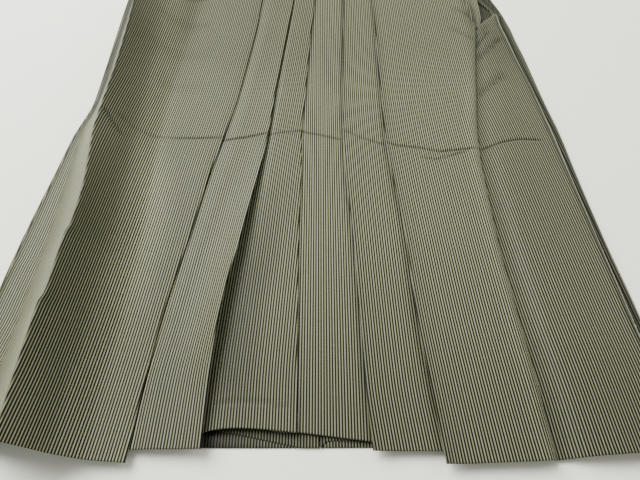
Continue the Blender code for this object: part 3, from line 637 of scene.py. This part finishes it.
# Creases, as paths across the top of the cloth. Each one has a depth and a half width, and
# fades out towards both ends. The first ones are the storage fold, the others are drags at
# the foot of the side opening, ripples of the right front and short wrinkles.
FRONT_CREASES = (
    (1.6, 1.5, ((-216, 320), (-207, 309), (-199, 299))),
    (0.8, 1.6, ((-211, 324), (-195, 321), (-180, 319), (-158, 320))),
    (1.3, 1.3, ((-162, 319), (-140, 320), (-118, 321), (-100, 323))),
    (1.5, 1.3, ((-106, 319), (-80, 322), (-55, 328))),
    (0.9, 1.3, ((-60, 327), (-40, 330), (-16, 333))),
    (1.4, 1.3, ((-22, 334), (0, 328), (27, 320))),
    (1.2, 1.3, ((22, 334), (45, 322), (72, 311))),
    (1.5, 1.3, ((68, 313), (106, 307), (126, 301), (169, 304))),
    (1.0, 1.3, ((104, 294), (122, 290), (158, 301))),
    (1.2, 2.0, ((176, 552), (191, 536), (202, 518))),
    (1.1, 2.2, ((166, 514), (180, 500), (193, 482))),
    (0.9, 4.0, ((-204, 572), (-176, 560), (-148, 572))),
    (0.7, 4.5, ((-188, 596), (-160, 590), (-130, 600))),
    (0.6, 5.0, ((-206, 520), (-172, 508), (-138, 516))),
    (0.5, 5.0, ((-200, 462), (-168, 452), (-132, 458))),
    (0.5, 5.0, ((-192, 402), (-160, 396), (-128, 400))),
    (0.7, 1.2, ((-84, 43), (-66, 46), (-45, 45.5), (-20, 40))),
    (0.9, 1.1, ((189, 610), (192, 566), (196, 535), (196, 505))),
    (1.5, 1.2, ((-240, 326), (-231, 325), (-221, 326))),
    (1.3, 1.6, ((-260, 364), (-247, 352), (-234, 340))),
)
BACK_CREASES = (
    (1.5, 1.4, ((167, 305), (180, 310), (196, 314), (212, 316), (238, 313))),
    (1.2, 1.8, ((197, 494), (206, 505), (217, 514))),
    (1.7, 2.6, ((193, 475), (204, 488), (215, 503))),
    (1.9, 2.9, ((190, 450), (207, 468), (228, 488))),
    (1.7, 3.2, ((182, 390), (199, 405), (219, 422))),
)
CREASE_FADE = 0.12       # share of a crease's length over which each end fades out
CREASE_SHADE = 0.24       # how much painted shade the silk gets for each millimetre of a crease,
CREASE_SPREAD = 1.5      # over this many times its width,
CREASE_SHADE_LIMIT = 0.5     # and by no more than this


def crease_depth(x, y, creases, spread=1.0):
    """How far each point sinks into the creases, with their width times spread."""
    sunk = np.zeros(x.shape)
    for depth, width, path in creases:
        path = np.array(path, float)
        steps = np.hypot(*np.diff(path, axis=0).T)
        starts = np.concatenate(([0], np.cumsum(steps)))
        nearest = np.full(x.shape, 1e9)
        place = np.zeros(x.shape)
        for (ax, ay), (bx, by), step, start in zip(path, path[1:], steps, starts):
            t = ((x - ax) * (bx - ax) + (y - ay) * (by - ay)) / step ** 2
            t = np.clip(t, 0, 1)
            reach = np.hypot(x - ax - t * (bx - ax), y - ay - t * (by - ay))
            closer = reach < nearest
            nearest = np.where(closer, reach, nearest)
            place = np.where(closer, (start + t * step) / starts[-1], place)
        fade = np.clip(np.minimum(place, 1 - place) / CREASE_FADE, 0, 1)
        sunk += depth * fade * np.exp(-(nearest / (spread * width)) ** 2)
    return sunk


def unevenness(x, y):
    """Slow rise and fall of the cloth, the same for all layers at one place."""
    swell = 0.22 * np.sin(x / 23 + y / 61) * np.sin(y / 37 - x / 51)
    return swell + 0.16 * np.sin(x / 41 - y / 29) + 0.1 * np.sin(y / 13 + x / 17)


def levels():
    """Heights of the rows up the garment, close together at the hem and at the storage fold."""
    spans = ((0, 6, 5), (6, 60, 14), (60, 286, 44), (286, 342, 60), (342, 480, 20),
             (480, 600, 38), (600, BACK_TOP, 22))
    return joined(*spans)


# Cloth turned under at the hem, from its cut edge up to the fold. Each row has its place
# along the threads, its height above the fold, and its drop in radii of the fold.
HEM_TURN = 14.0
HEM_ROLL = 0.45          # radius of the fold
HEM_EDGE_ROWS = (
    (-HEM_TURN, HEM_TURN, 2.0), (-2.5, HEM_ROLL + 1, 2.0), (-1.5, HEM_ROLL, 2.0),
    (-1.0, 0.13, 1.7), (-0.6, 0.0, 1.0), (-0.3, 0.13, 0.3),
)


def lofted(section_at, top, creases=()):
    """Points, threads and painted light and shade of one cloth piece, with its hem turned under."""
    sections = [section_at(y) for y in levels()]
    height = np.minimum([[s.y] for s in sections], top)
    x, z, hem, under, tone = (np.array([getattr(s, name) for s in sections])
                              for name in ("x", "z", "hem", "under", "tone"))
    across = np.array([threads_across(s) for s in sections])
    y = height + hem * np.clip(1 - height / HEM_ZONE, 0, 1)
    upper = np.clip((z - SECOND_LAYER) / 2, 0, 1)
    z = z + upper * (unevenness(x, y) - crease_depth(x, y, creases))
    # Painted shade in and beside the creases, on the upper layers
    crease_shade = np.clip(CREASE_SHADE * crease_depth(x, y, creases, CREASE_SPREAD), 0, CREASE_SHADE_LIMIT)
    tone = tone * (1 - upper * crease_shade)
    y[0] += HEM_ROLL
    edge_along, edge_y, edge_drop = zip(*HEM_EDGE_ROWS)
    rows = len(HEM_EDGE_ROWS)
    x = np.vstack([x[:1]] * rows + [x])
    y = np.vstack([hem[0] + rise for rise in edge_y] + [y])
    z = np.vstack([z[0] + drop * HEM_ROLL * under[0] for drop in edge_drop] + [z])
    across = np.vstack([across[:1]] * rows + [across])
    tone = np.vstack([tone[:1]] * rows + [tone])
    along = np.concatenate((edge_along, height[:, 0]))
    grid = np.stack([x, y, z], axis=2)
    threads = np.stack([across, np.broadcast_to(along[:, None] * MM, across.shape)], axis=2)
    return grid, threads, tone


def shell(name, grid, threads, thickness=CLOTH, tone=1.0):
    """Cloth piece from a grid of mid points in millimetres, with threads and painted light and
    shade.
    """
    rows, count = grid.shape[:2]
    places = grid.reshape(-1, 3) * MM - (0, CENTRE_Y * MM, 0)
    index = np.arange(rows * count).reshape(rows, count)
    faces = np.stack([index[:-1, :-1], index[:-1, 1:], index[1:, 1:], index[1:, :-1]], axis=2)
    faces = faces.reshape(-1, 4)
    data = bpy.data.meshes.new(name)
    data.from_pydata(places.tolist(), [], faces.tolist())
    corners = threads.reshape(-1, 2)[faces.ravel()].astype(np.float32)
    data.uv_layers.new(name="threads").uv.foreach_set("vector", corners.ravel())
    # Painted light and shade go in as a shade attribute: above 0 darkens the silk, below 0 lightens
    # it
    shade = data.attributes.new("shade", "FLOAT", "POINT")
    shades = np.broadcast_to(1 - np.asarray(tone), (rows, count)).astype(np.float32)
    shade.data.foreach_set("value", np.ascontiguousarray(shades).ravel())
    data.shade_smooth()
    data.validate()
    made = bpy.data.objects.new(name, data)
    bpy.context.scene.collection.objects.link(made)
    if thickness > 0:
        wall = made.modifiers.new("cloth wall", "SOLIDIFY")
        wall.thickness = thickness * MM
        wall.offset = 0.0
    return made


def woven(grid):
    """Thread coordinates of a grid, across the stripes along a row and on from row to row."""
    across = np.linalg.norm(np.diff(grid, axis=1), axis=2).mean(axis=0)
    along = np.linalg.norm(np.diff(grid, axis=0), axis=2).mean(axis=1)
    runs = [np.concatenate(([0], np.cumsum(steps))) * MM for steps in (across, along)]
    return np.stack(np.meshgrid(*runs), axis=2)


class Wire:
    """A socket of a material, with arithmetic that adds Math nodes."""

    def __init__(self, finish, socket):
        self.finish, self.socket = finish, socket

    def _math(self, operation, first, second):
        return self.finish.node("ShaderNodeMath", {"operation": operation}, {0: first, 1: second})

    def __add__(self, other):
        return self._math("ADD", self, other)

    def __sub__(self, other):
        return self._math("SUBTRACT", self, other)

    def __mul__(self, other):
        return self._math("MULTIPLY", self, other)

    def __rsub__(self, other):
        return self._math("SUBTRACT", other, self)

    __radd__ = __add__
    __rmul__ = __mul__


class Finish:
    """One material, built node by node."""

    def __init__(self, name):
        self.material = bpy.data.materials.new(name)
        self.material.use_nodes = True
        self.nodes = self.material.node_tree.nodes
        self.links = self.material.node_tree.links
        self.shader = self.nodes["Principled BSDF"]

    def put(self, socket, value):
        if isinstance(value, Wire):
            self.links.new(value.socket, socket)
        else:
            socket.default_value = value

    def node(self, kind, settings=None, values=None, output=0):
        """Add a node. settings are its own properties, values its sockets' links or numbers."""
        made = self.nodes.new(kind)
        for name, value in (settings or {}).items():
            if name == "stops":
                self.set_stops(made.color_ramp, value)
            else:
                setattr(made, name, value)
        for name, value in (values or {}).items():
            self.put(made.inputs[name], value)
        return Wire(self, made.outputs[output])

    @staticmethod
    def set_stops(ramp, stops):
        while len(ramp.elements) < len(stops):
            ramp.elements.new(1.0)
        for element, (place, colour) in zip(ramp.elements, stops):
            element.position = place
            element.color = (*colour, 1)

    def mix(self, factor, first, second, kind="MIX"):
        """Blend of two colours."""
        values = {"Factor": factor, 6: first, 7: second}
        return self.node("ShaderNodeMix", {"data_type": "RGBA", "blend_type": kind}, values, 2)

    def set(self, **values):
        for name, value in values.items():
            self.put(self.shader.inputs[name.replace("_", " ")], value)


# Stripes: one repeat across the cloth holds a dark, a pale, a dark and a khaki line.
STRIPE_REPEAT = 4.62
DARK_THREAD = (0.008, 0.008, 0.003)
PALE_THREAD = (0.23, 0.232, 0.168)
KHAKI_THREAD = (0.2, 0.207, 0.112)
STRIPES = (
    (0.0, DARK_THREAD), (0.25, DARK_THREAD), (0.285, PALE_THREAD), (0.465, PALE_THREAD),
    (0.50, DARK_THREAD), (0.75, DARK_THREAD), (0.785, KHAKI_THREAD), (0.965, KHAKI_THREAD),
    (1.0, DARK_THREAD),
)
WEFT_PITCH = 0.55        # spacing of the fine crosswise ribs
SLUBS_ACROSS = 90.0      # uneven places of the yarn, for each metre across the threads
SLUBS_ALONG = 900.0      # and along them
SLUB_RANGE, SLUB_TONES = (0.3, 0.7), (0.9, 1.08)
SHEEN_COLOUR = (0.87, 0.9, 0.62, 1)
# The backs' copy of the silk is darker as painted shade, the bands' copy a little darker
BACK_SHADE, BAND_SHADE = 0.88, 0.95


def striped_silk(name, shade=1.0):
    """Warp-striped silk with fine crosswise ribs and a soft sheen."""
    silk = Finish(name)
    place = silk.node("ShaderNodeUVMap", {"uv_map": "threads"})
    across = silk.node("ShaderNodeSeparateXYZ", values={0: place}, output=0)
    along = silk.node("ShaderNodeSeparateXYZ", values={0: place}, output=1)
    repeats = across * (1 / (STRIPE_REPEAT * MM))
    turn = silk.node("ShaderNodeMath", {"operation": "FRACT"}, {0: repeats})
    # A shade below 1 darkens the stripes, which for the backs is painted shade
    stops = [(stop, tuple(shade * part for part in thread)) for stop, thread in STRIPES]
    stripes = silk.node("ShaderNodeValToRGB", {"stops": stops}, {0: turn})
    rows = silk.node("ShaderNodeCombineXYZ",
                     values={0: across * SLUBS_ACROSS, 1: along * SLUBS_ALONG})
    slub = silk.node("ShaderNodeTexNoise", values={"Vector": rows, "Scale": 1.0, "Detail": 2.0})
    spread = dict(enumerate((slub, *SLUB_RANGE, *SLUB_TONES)))
    tone = silk.node("ShaderNodeMapRange", values=spread)
    # Painted light and shade from the shade attribute darken and lighten the colour
    tone = tone * (1 - silk.node("ShaderNodeAttribute", {"attribute_name": "shade"}, output=2))
    grey = silk.node("ShaderNodeCombineXYZ", values={0: tone, 1: tone, 2: tone})
    colour = silk.mix(1.0, stripes, grey, "MULTIPLY")
    wave = silk.node("ShaderNodeMath", {"operation": "SINE"},
                     {0: along * (2 * math.pi / (WEFT_PITCH * MM))})
    bump = silk.node("ShaderNodeBump", values={"Strength": 0.15, "Distance": 0.0001,
                                               "Height": wave + slub * 1.5})
    silk.set(Base_Color=colour, Normal=bump, Roughness=0.5, Sheen_Weight=0.4,
             Sheen_Roughness=0.3, Sheen_Tint=SHEEN_COLOUR, IOR=1.5)
    silk.set(**{"Specular IOR Level": 0.1})
    return silk.material


def tack_thread():
    """Twisted dark thread of the bar tacks."""
    thread = Finish("dark sewing thread")
    place = thread.node("ShaderNodeTexCoord", output=3)
    twist = thread.node("ShaderNodeTexWave", {"bands_direction": "DIAGONAL"},
                        {"Vector": place, "Scale": 2500.0, "Distortion": 1.0}, output=1)
    colour = thread.mix(twist, (0.02, 0.02, 0.013, 1), (0.05, 0.048, 0.034, 1))
    bump = thread.node("ShaderNodeBump",
                       values={"Strength": 0.4, "Distance": 0.0001, "Height": twist})
    thread.set(Base_Color=colour, Normal=bump, Roughness=0.6)
    return thread.material


SILK = striped_silk("striped silk")
# The backs' copy, darkened as painted shade
SILK_BACK = striped_silk("striped silk, back", BACK_SHADE)
SILK_BANDS = striped_silk("striped silk, bands", BAND_SHADE)
THREAD = tack_thread()


def dressed(piece, node, material):
    """Give a piece its finish, and let it stand for its node."""
    piece.data.materials.append(material)
    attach(piece, "root")
    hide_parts(node)
    return piece


def cloth_area(piece):
    """Area of the one-sided grid of a piece, in square metres."""
    return sum(face.area for face in piece.data.polygons)


def build_panels():
    """Front and back cloths of both legs."""
    rows = (
        ("front_right", front_right_section, FRONT_TOP, FRONT_CREASES, SILK, ["back_right"]),
        ("front_left", front_left_section, FRONT_TOP, FRONT_CREASES, SILK, ["back_left"]),
        ("back_right", back_right_section, BACK_TOP, (), SILK_BACK, []),
        ("back_left", back_left_section, BACK_TOP, BACK_CREASES, SILK_BACK, []),
    )
    for node, section_at, top, creases, material, under in rows:
        grid, threads, tone = lofted(section_at, top, creases)
        piece = dressed(shell(node + "_silk", grid, threads, tone=tone), node, material)
        steps = np.diff(grid[:, :, [0, 2]], axis=1)
        width = float(np.hypot(steps[:, :, 0], steps[:, :, 1]).sum(axis=1).max() * MM)
        length = (top + HEM_TURN) * MM
        min(cloth_area(piece), width * length)


def build_side_folds():
    """Doubled strips turned under along the side openings."""
    for side, sign in (("right", -1), ("left", 1)):
        rows, tones = [], []
        for y in np.linspace(FOLD_START[side], BAND_LOW - 1, 60):
            place = fold_table.at(y)
            inner, outer, z = (place[side + word] for word in ("_in", "_out", "_z"))
            root = turn_root(outer, FOLD_PITCH, sign)
            over, under = z + FOLD_PITCH / 2, z - FOLD_PITCH / 2
            section = Section(y)
            section.add(np.linspace(inner, root, 9), over, 0, "fold")
            section.add_turn(outer, over, under, sign, 0, "fold")
            section.add(np.linspace(root, inner, 9), under, 0, "fold")
            rows.append(np.stack([section.x, np.full(len(section.x), y), section.z], axis=1))
            # Painted shadow along the left front's edge, then a little painted light
            front = left_table.at(y)["seam"] if side == "left" else 0
            tones.append(np.interp(section.x, front + np.array(SIDE_FOLD_TONES[0]),
                                   SIDE_FOLD_TONES[1]))
        grid = np.array(rows)
        node = "side_fold_" + side
        cloth = shell(node + "_silk", grid, woven(grid), FOLD_CLOTH, np.array(tones))
        piece = dressed(cloth, node, SILK)


def build_gusset():
    """Folded gusset between the legs, hidden behind the centre pleat."""
    middle = (GUSSET_LOW + GUSSET_HIGH) / 2
    rows = []
    for y in np.linspace(GUSSET_LOW, GUSSET_HIGH, 25):
        share = 1 - abs(y - middle) / (middle - GUSSET_LOW)
        half = GUSSET_TIP + (GUSSET_HALF - GUSSET_TIP) * share
        x = np.linspace(-half, half, 17)
        rows.append(np.stack([x, np.full(len(x), y), THIRD_LAYER + 0.1 * np.sin(x / 9)], axis=1))
    grid = np.array(rows)
    threads = grid[:, :, :2] * MM
    piece = dressed(shell("gusset_silk", grid, threads), "gusset", SILK)


def build_waistband():
    """Band folded over the top of the front cloth, with its lower edge turned in."""
    radius = (BAND_OVER - BAND_UNDER) / 2
    middle = (BAND_OVER + BAND_UNDER) / 2
    inner_top = BAND_HIGH - BAND_SUNK - radius
    angles = np.radians(np.linspace(-90, 90, 13))
    under = np.linspace(BAND_LOW, inner_top, 10)[:-1]
    over = np.linspace(inner_top, BAND_LOW, 22)[1:]
    bulge = BAND_BULGE * np.sin(np.linspace(0, np.pi, 23))[1:-1]
    edge = np.radians(np.linspace(90, 270, 7))[1:]
    profile_y = np.concatenate((under, inner_top + radius * np.cos(angles), over,
                                BAND_LOW + BAND_EDGE * np.cos(edge), [BAND_LOW + BAND_TURN]))
    profile_z = np.concatenate((np.full(len(under), BAND_UNDER), middle + radius * np.sin(angles),
                                BAND_OVER + bulge, BAND_OVER - BAND_EDGE + BAND_EDGE * np.sin(edge),
                                [BAND_OVER - 2 * BAND_EDGE]))
    rows = []
    for x in np.linspace(-BAND_HALF, BAND_HALF, 90):
        waver = 0.15 * np.sin(x / 19) + 0.1 * np.sin(x / 7)
        upper = np.clip((profile_z - middle) / radius, 0, 1)
        rows.append(np.stack([np.full(len(profile_y), x), profile_y,
                              profile_z + waver * upper], axis=1))
    grid = np.array(rows)
    piece = dressed(shell("waistband_silk", grid, woven(grid), BAND_WALL), "waistband", SILK_BANDS)


def tie_path(start_x, start_z, runs):
    """Side view (x, z) of a tie that drops to the surface and folds back and forth."""
    radius = TIE_PITCH / 2
    far, near = TIE_OUT - TIE_LOW - radius, TIE_IN + TIE_LOW + radius
    drop = np.linspace(0, 1, 9)[1:]
    x, z = [start_x, start_x + TIE_LEAD], [start_z, start_z]
    x.extend(start_x + TIE_LEAD + TIE_DROP * drop)
    z.extend(start_z + (TIE_LOW - start_z) * (drop * drop * (3 - 2 * drop)))
    for i in range(runs):
        level = TIE_LOW + i * TIE_PITCH
        end, side = (far, 1) if i % 2 == 0 else (near, -1)
        x.extend(np.linspace(x[-1], end, 10)[1:])
        z.extend([level] * 9)
        if i < runs - 1:
            angles = np.radians(np.linspace(-90, 90, 7))[1:]
            x.extend(end + side * radius * np.cos(angles))
            z.extend(level + radius + radius * np.sin(angles))
    return np.array(x), np.array(z)


def build_tie(node, side, start_x, start_z, runs, middle_y):
    """One tie: a flat tube of silk, folded in slightly uneven runs."""
    x, z = tie_path(start_x, start_z, runs)
    run = np.concatenate(([0], np.cumsum(np.hypot(np.diff(x), np.diff(z)))))
    slope_x, slope_z = np.gradient(x, run), np.gradient(z, run)
    reach = np.hypot(slope_x, slope_z)
    angles = np.linspace(0, 2 * np.pi, 21)
    wide = TIE_WIDTH / 2 * np.sign(np.cos(angles)) * np.abs(np.cos(angles)) ** 0.4
    deep = TIE_THICK / 2 * np.sign(np.sin(angles)) * np.abs(np.sin(angles)) ** 0.6
    shift = 0.7 * np.sin(run / 63) + 0.4 * np.sin(run / 29)
    shift *= np.clip(run / 40, 0, 1)
    rows = []
    for place in range(len(run)):
        deeper = deep * (0.25 if place == len(run) - 1 else 1.0)
        across = -slope_z[place] / reach[place], slope_x[place] / reach[place]
        rows.append(np.stack([side * (x[place] + deeper * across[0]),
                              middle_y + shift[place] + wide,
                              z[place] + deeper * across[1]], axis=1))
    grid = np.array(rows)
    piece = dressed(shell(node + "_silk", grid, woven(grid), 0), node, SILK_BANDS)


# Rings of the board's cover, from the middle of its back over the edge to the middle of its
# front: distance in from the outline, where None stands for the middle, and height
BOARD_RINGS = (
    (None, 0.0), (0.8, 0.0), (0.0, 0.7), (0.0, 3.1), (0.4, 3.8), (1.4, 4.1), (5.0, 4.3),
    (12.0, 4.4), (25.0, 4.5), (None, 4.5),
)


def build_board():
    """Stiff board with rounded edges, covered with the same silk."""
    low = BAND_HIGH + SEAM_GAP
    high = low + BOARD_HEIGHT
    half = ((BOARD_LOW_HALF, low, 2.0), (BOARD_LOW_HALF, low + BOARD_SHOULDER, 9.0),
            (BOARD_TOP_HALF + BOARD_CORNER / 3, high - BOARD_CORNER, 4.0),
            (BOARD_TOP_HALF - BOARD_CORNER, high, 4.0))
    corners = list(half) + [(-x, y, r) for x, y, r in reversed(half)]
    outline = []
    for i, (x, y, soft) in enumerate(corners):
        corner = np.array((x, y))
        ways = [np.array(corners[j % len(corners)][:2]) - corner for j in (i - 1, i + 1)]
        ends = [corner + way * soft / np.linalg.norm(way) for way in ways]
        for t in np.linspace(0, 1, 7):
            outline.append((1 - t) ** 2 * ends[0] + 2 * t * (1 - t) * corner + t * t * ends[1])
    outline.append(outline[0])
    outline = np.array(outline)
    core = np.stack([np.clip(outline[:, 0], -BOARD_CORE_HALF, BOARD_CORE_HALF),
                     np.full(len(outline), (low + high) / 2)], axis=1)
    reach = np.linalg.norm(outline - core, axis=1)
    rows = []
    for inset, z in BOARD_RINGS:
        part = np.ones(len(outline)) if inset is None else inset / reach
        place = outline + (core - outline) * part[:, None]
        rows.append(np.column_stack([place, np.full(len(place), z)]))
    grid = np.array(rows)
    dressed(shell("back_board_cover", grid, grid[:, :, :2] * MM, 0), "back_board", SILK_BANDS)


def build_tacks():
    """Bar tacks of a few dark threads at the foot of each side opening."""
    angles = np.linspace(0, 2 * np.pi, 9)
    for side, ends in TACKS.items():
        start, stop = np.array(ends, float)
        rows = []
        for i in range(TACK_THREADS):
            offset = np.array((0, (i - (TACK_THREADS - 1) / 2) * TACK_PITCH, 0))
            for t in np.linspace(0, 1, 9):
                arch = TACK_ARCH * np.sin(np.pi * t) - TACK_SUNK
                middle = start + (stop - start) * t + offset + (0, 0, arch)
                thick = TACK_RADIUS if 0 < t < 1 else TACK_TIP
                rows.append(middle + np.column_stack([np.zeros(len(angles)), thick * np.cos(angles),
                                                      thick * np.sin(angles)]))
        grid = np.array(rows)
        tack = shell("bar_tack_" + side, grid, woven(grid), 0)
        tack.data.materials.append(THREAD)
        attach(tack, "root")


def build_ties():
    """Front ties from the ends of the band, back ties from the corners of the board."""
    for word, side in (("right", -1), ("left", 1)):
        build_tie("front_tie_" + word, side, BAND_HALF + SEAM_GAP, BAND_OVER, FRONT_TIE_RUNS,
                  FRONT_TIE_Y)
        build_tie("back_tie_" + word, side, BOARD_LOW_HALF + SEAM_GAP, BACK_TIE_ROOT,
                  BACK_TIE_RUNS, BACK_TIE_Y)


build_panels()
build_side_folds()
build_gusset()
build_waistband()
build_board()
build_ties()
build_tacks()


# Camera, lights and surround, in metres and watts
CAMERA_FORWARD = -0.043  # from the lowest point of the hem, along +Y
CAMERA_HEIGHT = 0.39
CAMERA_TILT = 31.6       # degrees up from straight down
CAMERA_LENS = 27.0
SENSOR_WIDTH = 36.0
LIGHT_SIZE = 1.8
LIGHT_AIM = (0, -0.1, 0)
LIGHTS = (
    ("left light", (-1.2, 0.85, 1.6), 158),
    ("right light", (2.0, 1.2, 1.7), 34),
)
FLOOR_HALF = 3.0
FLOOR_COLOUR = (0.93, 0.935, 0.82, 1)
SURROUND_COLOUR = (0.98, 1.0, 0.95, 1)
SURROUND_STRENGTH = 0.47


def build_camera():
    """Camera over the hem, looking up the garment."""
    data = bpy.data.cameras.new("camera")
    data.lens = CAMERA_LENS
    data.sensor_width = SENSOR_WIDTH
    camera = bpy.data.objects.new("camera", data)
    camera.location = (0, CAMERA_FORWARD - CENTRE_Y * MM, CAMERA_HEIGHT)
    camera.rotation_euler = (math.radians(CAMERA_TILT), 0, 0)
    bpy.context.scene.collection.objects.link(camera)
    bpy.context.scene.camera = camera


def soft_light(name, place, power):
    """Square soft light at a place, facing the garment."""
    data = bpy.data.lights.new(name, "AREA")
    data.shape = "SQUARE"
    data.size = LIGHT_SIZE
    data.energy = power
    light = bpy.data.objects.new(name, data)
    light.location = place
    direction = np.array(LIGHT_AIM, float) - np.array(place, float)
    flat = math.hypot(direction[0], direction[1])
    light.rotation_euler = (math.atan2(flat, -direction[2]), 0,
                            math.atan2(direction[1], direction[0]) - math.pi / 2)
    bpy.context.scene.collection.objects.link(light)


def build_studio():
    """Pale floor, soft lights round the garment and an even pale surround."""
    half = FLOOR_HALF
    data = bpy.data.meshes.new("floor")
    data.from_pydata([(-half, -half, 0), (half, -half, 0), (half, half, 0), (-half, half, 0)], [],
                     [(0, 1, 2, 3)])
    floor = bpy.data.objects.new("floor", data)
    paper = Finish("pale paper")
    paper.set(Base_Color=FLOOR_COLOUR, Roughness=0.8)
    data.materials.append(paper.material)
    bpy.context.scene.collection.objects.link(floor)
    for name, place, power in LIGHTS:
        soft_light(name, place, power)
    world = bpy.data.worlds.new("surround")
    bpy.context.scene.world = world
    world.use_nodes = True
    surround = world.node_tree.nodes["Background"]
    surround.inputs["Color"].default_value = SURROUND_COLOUR
    surround.inputs["Strength"].default_value = SURROUND_STRENGTH


build_camera()
build_studio()
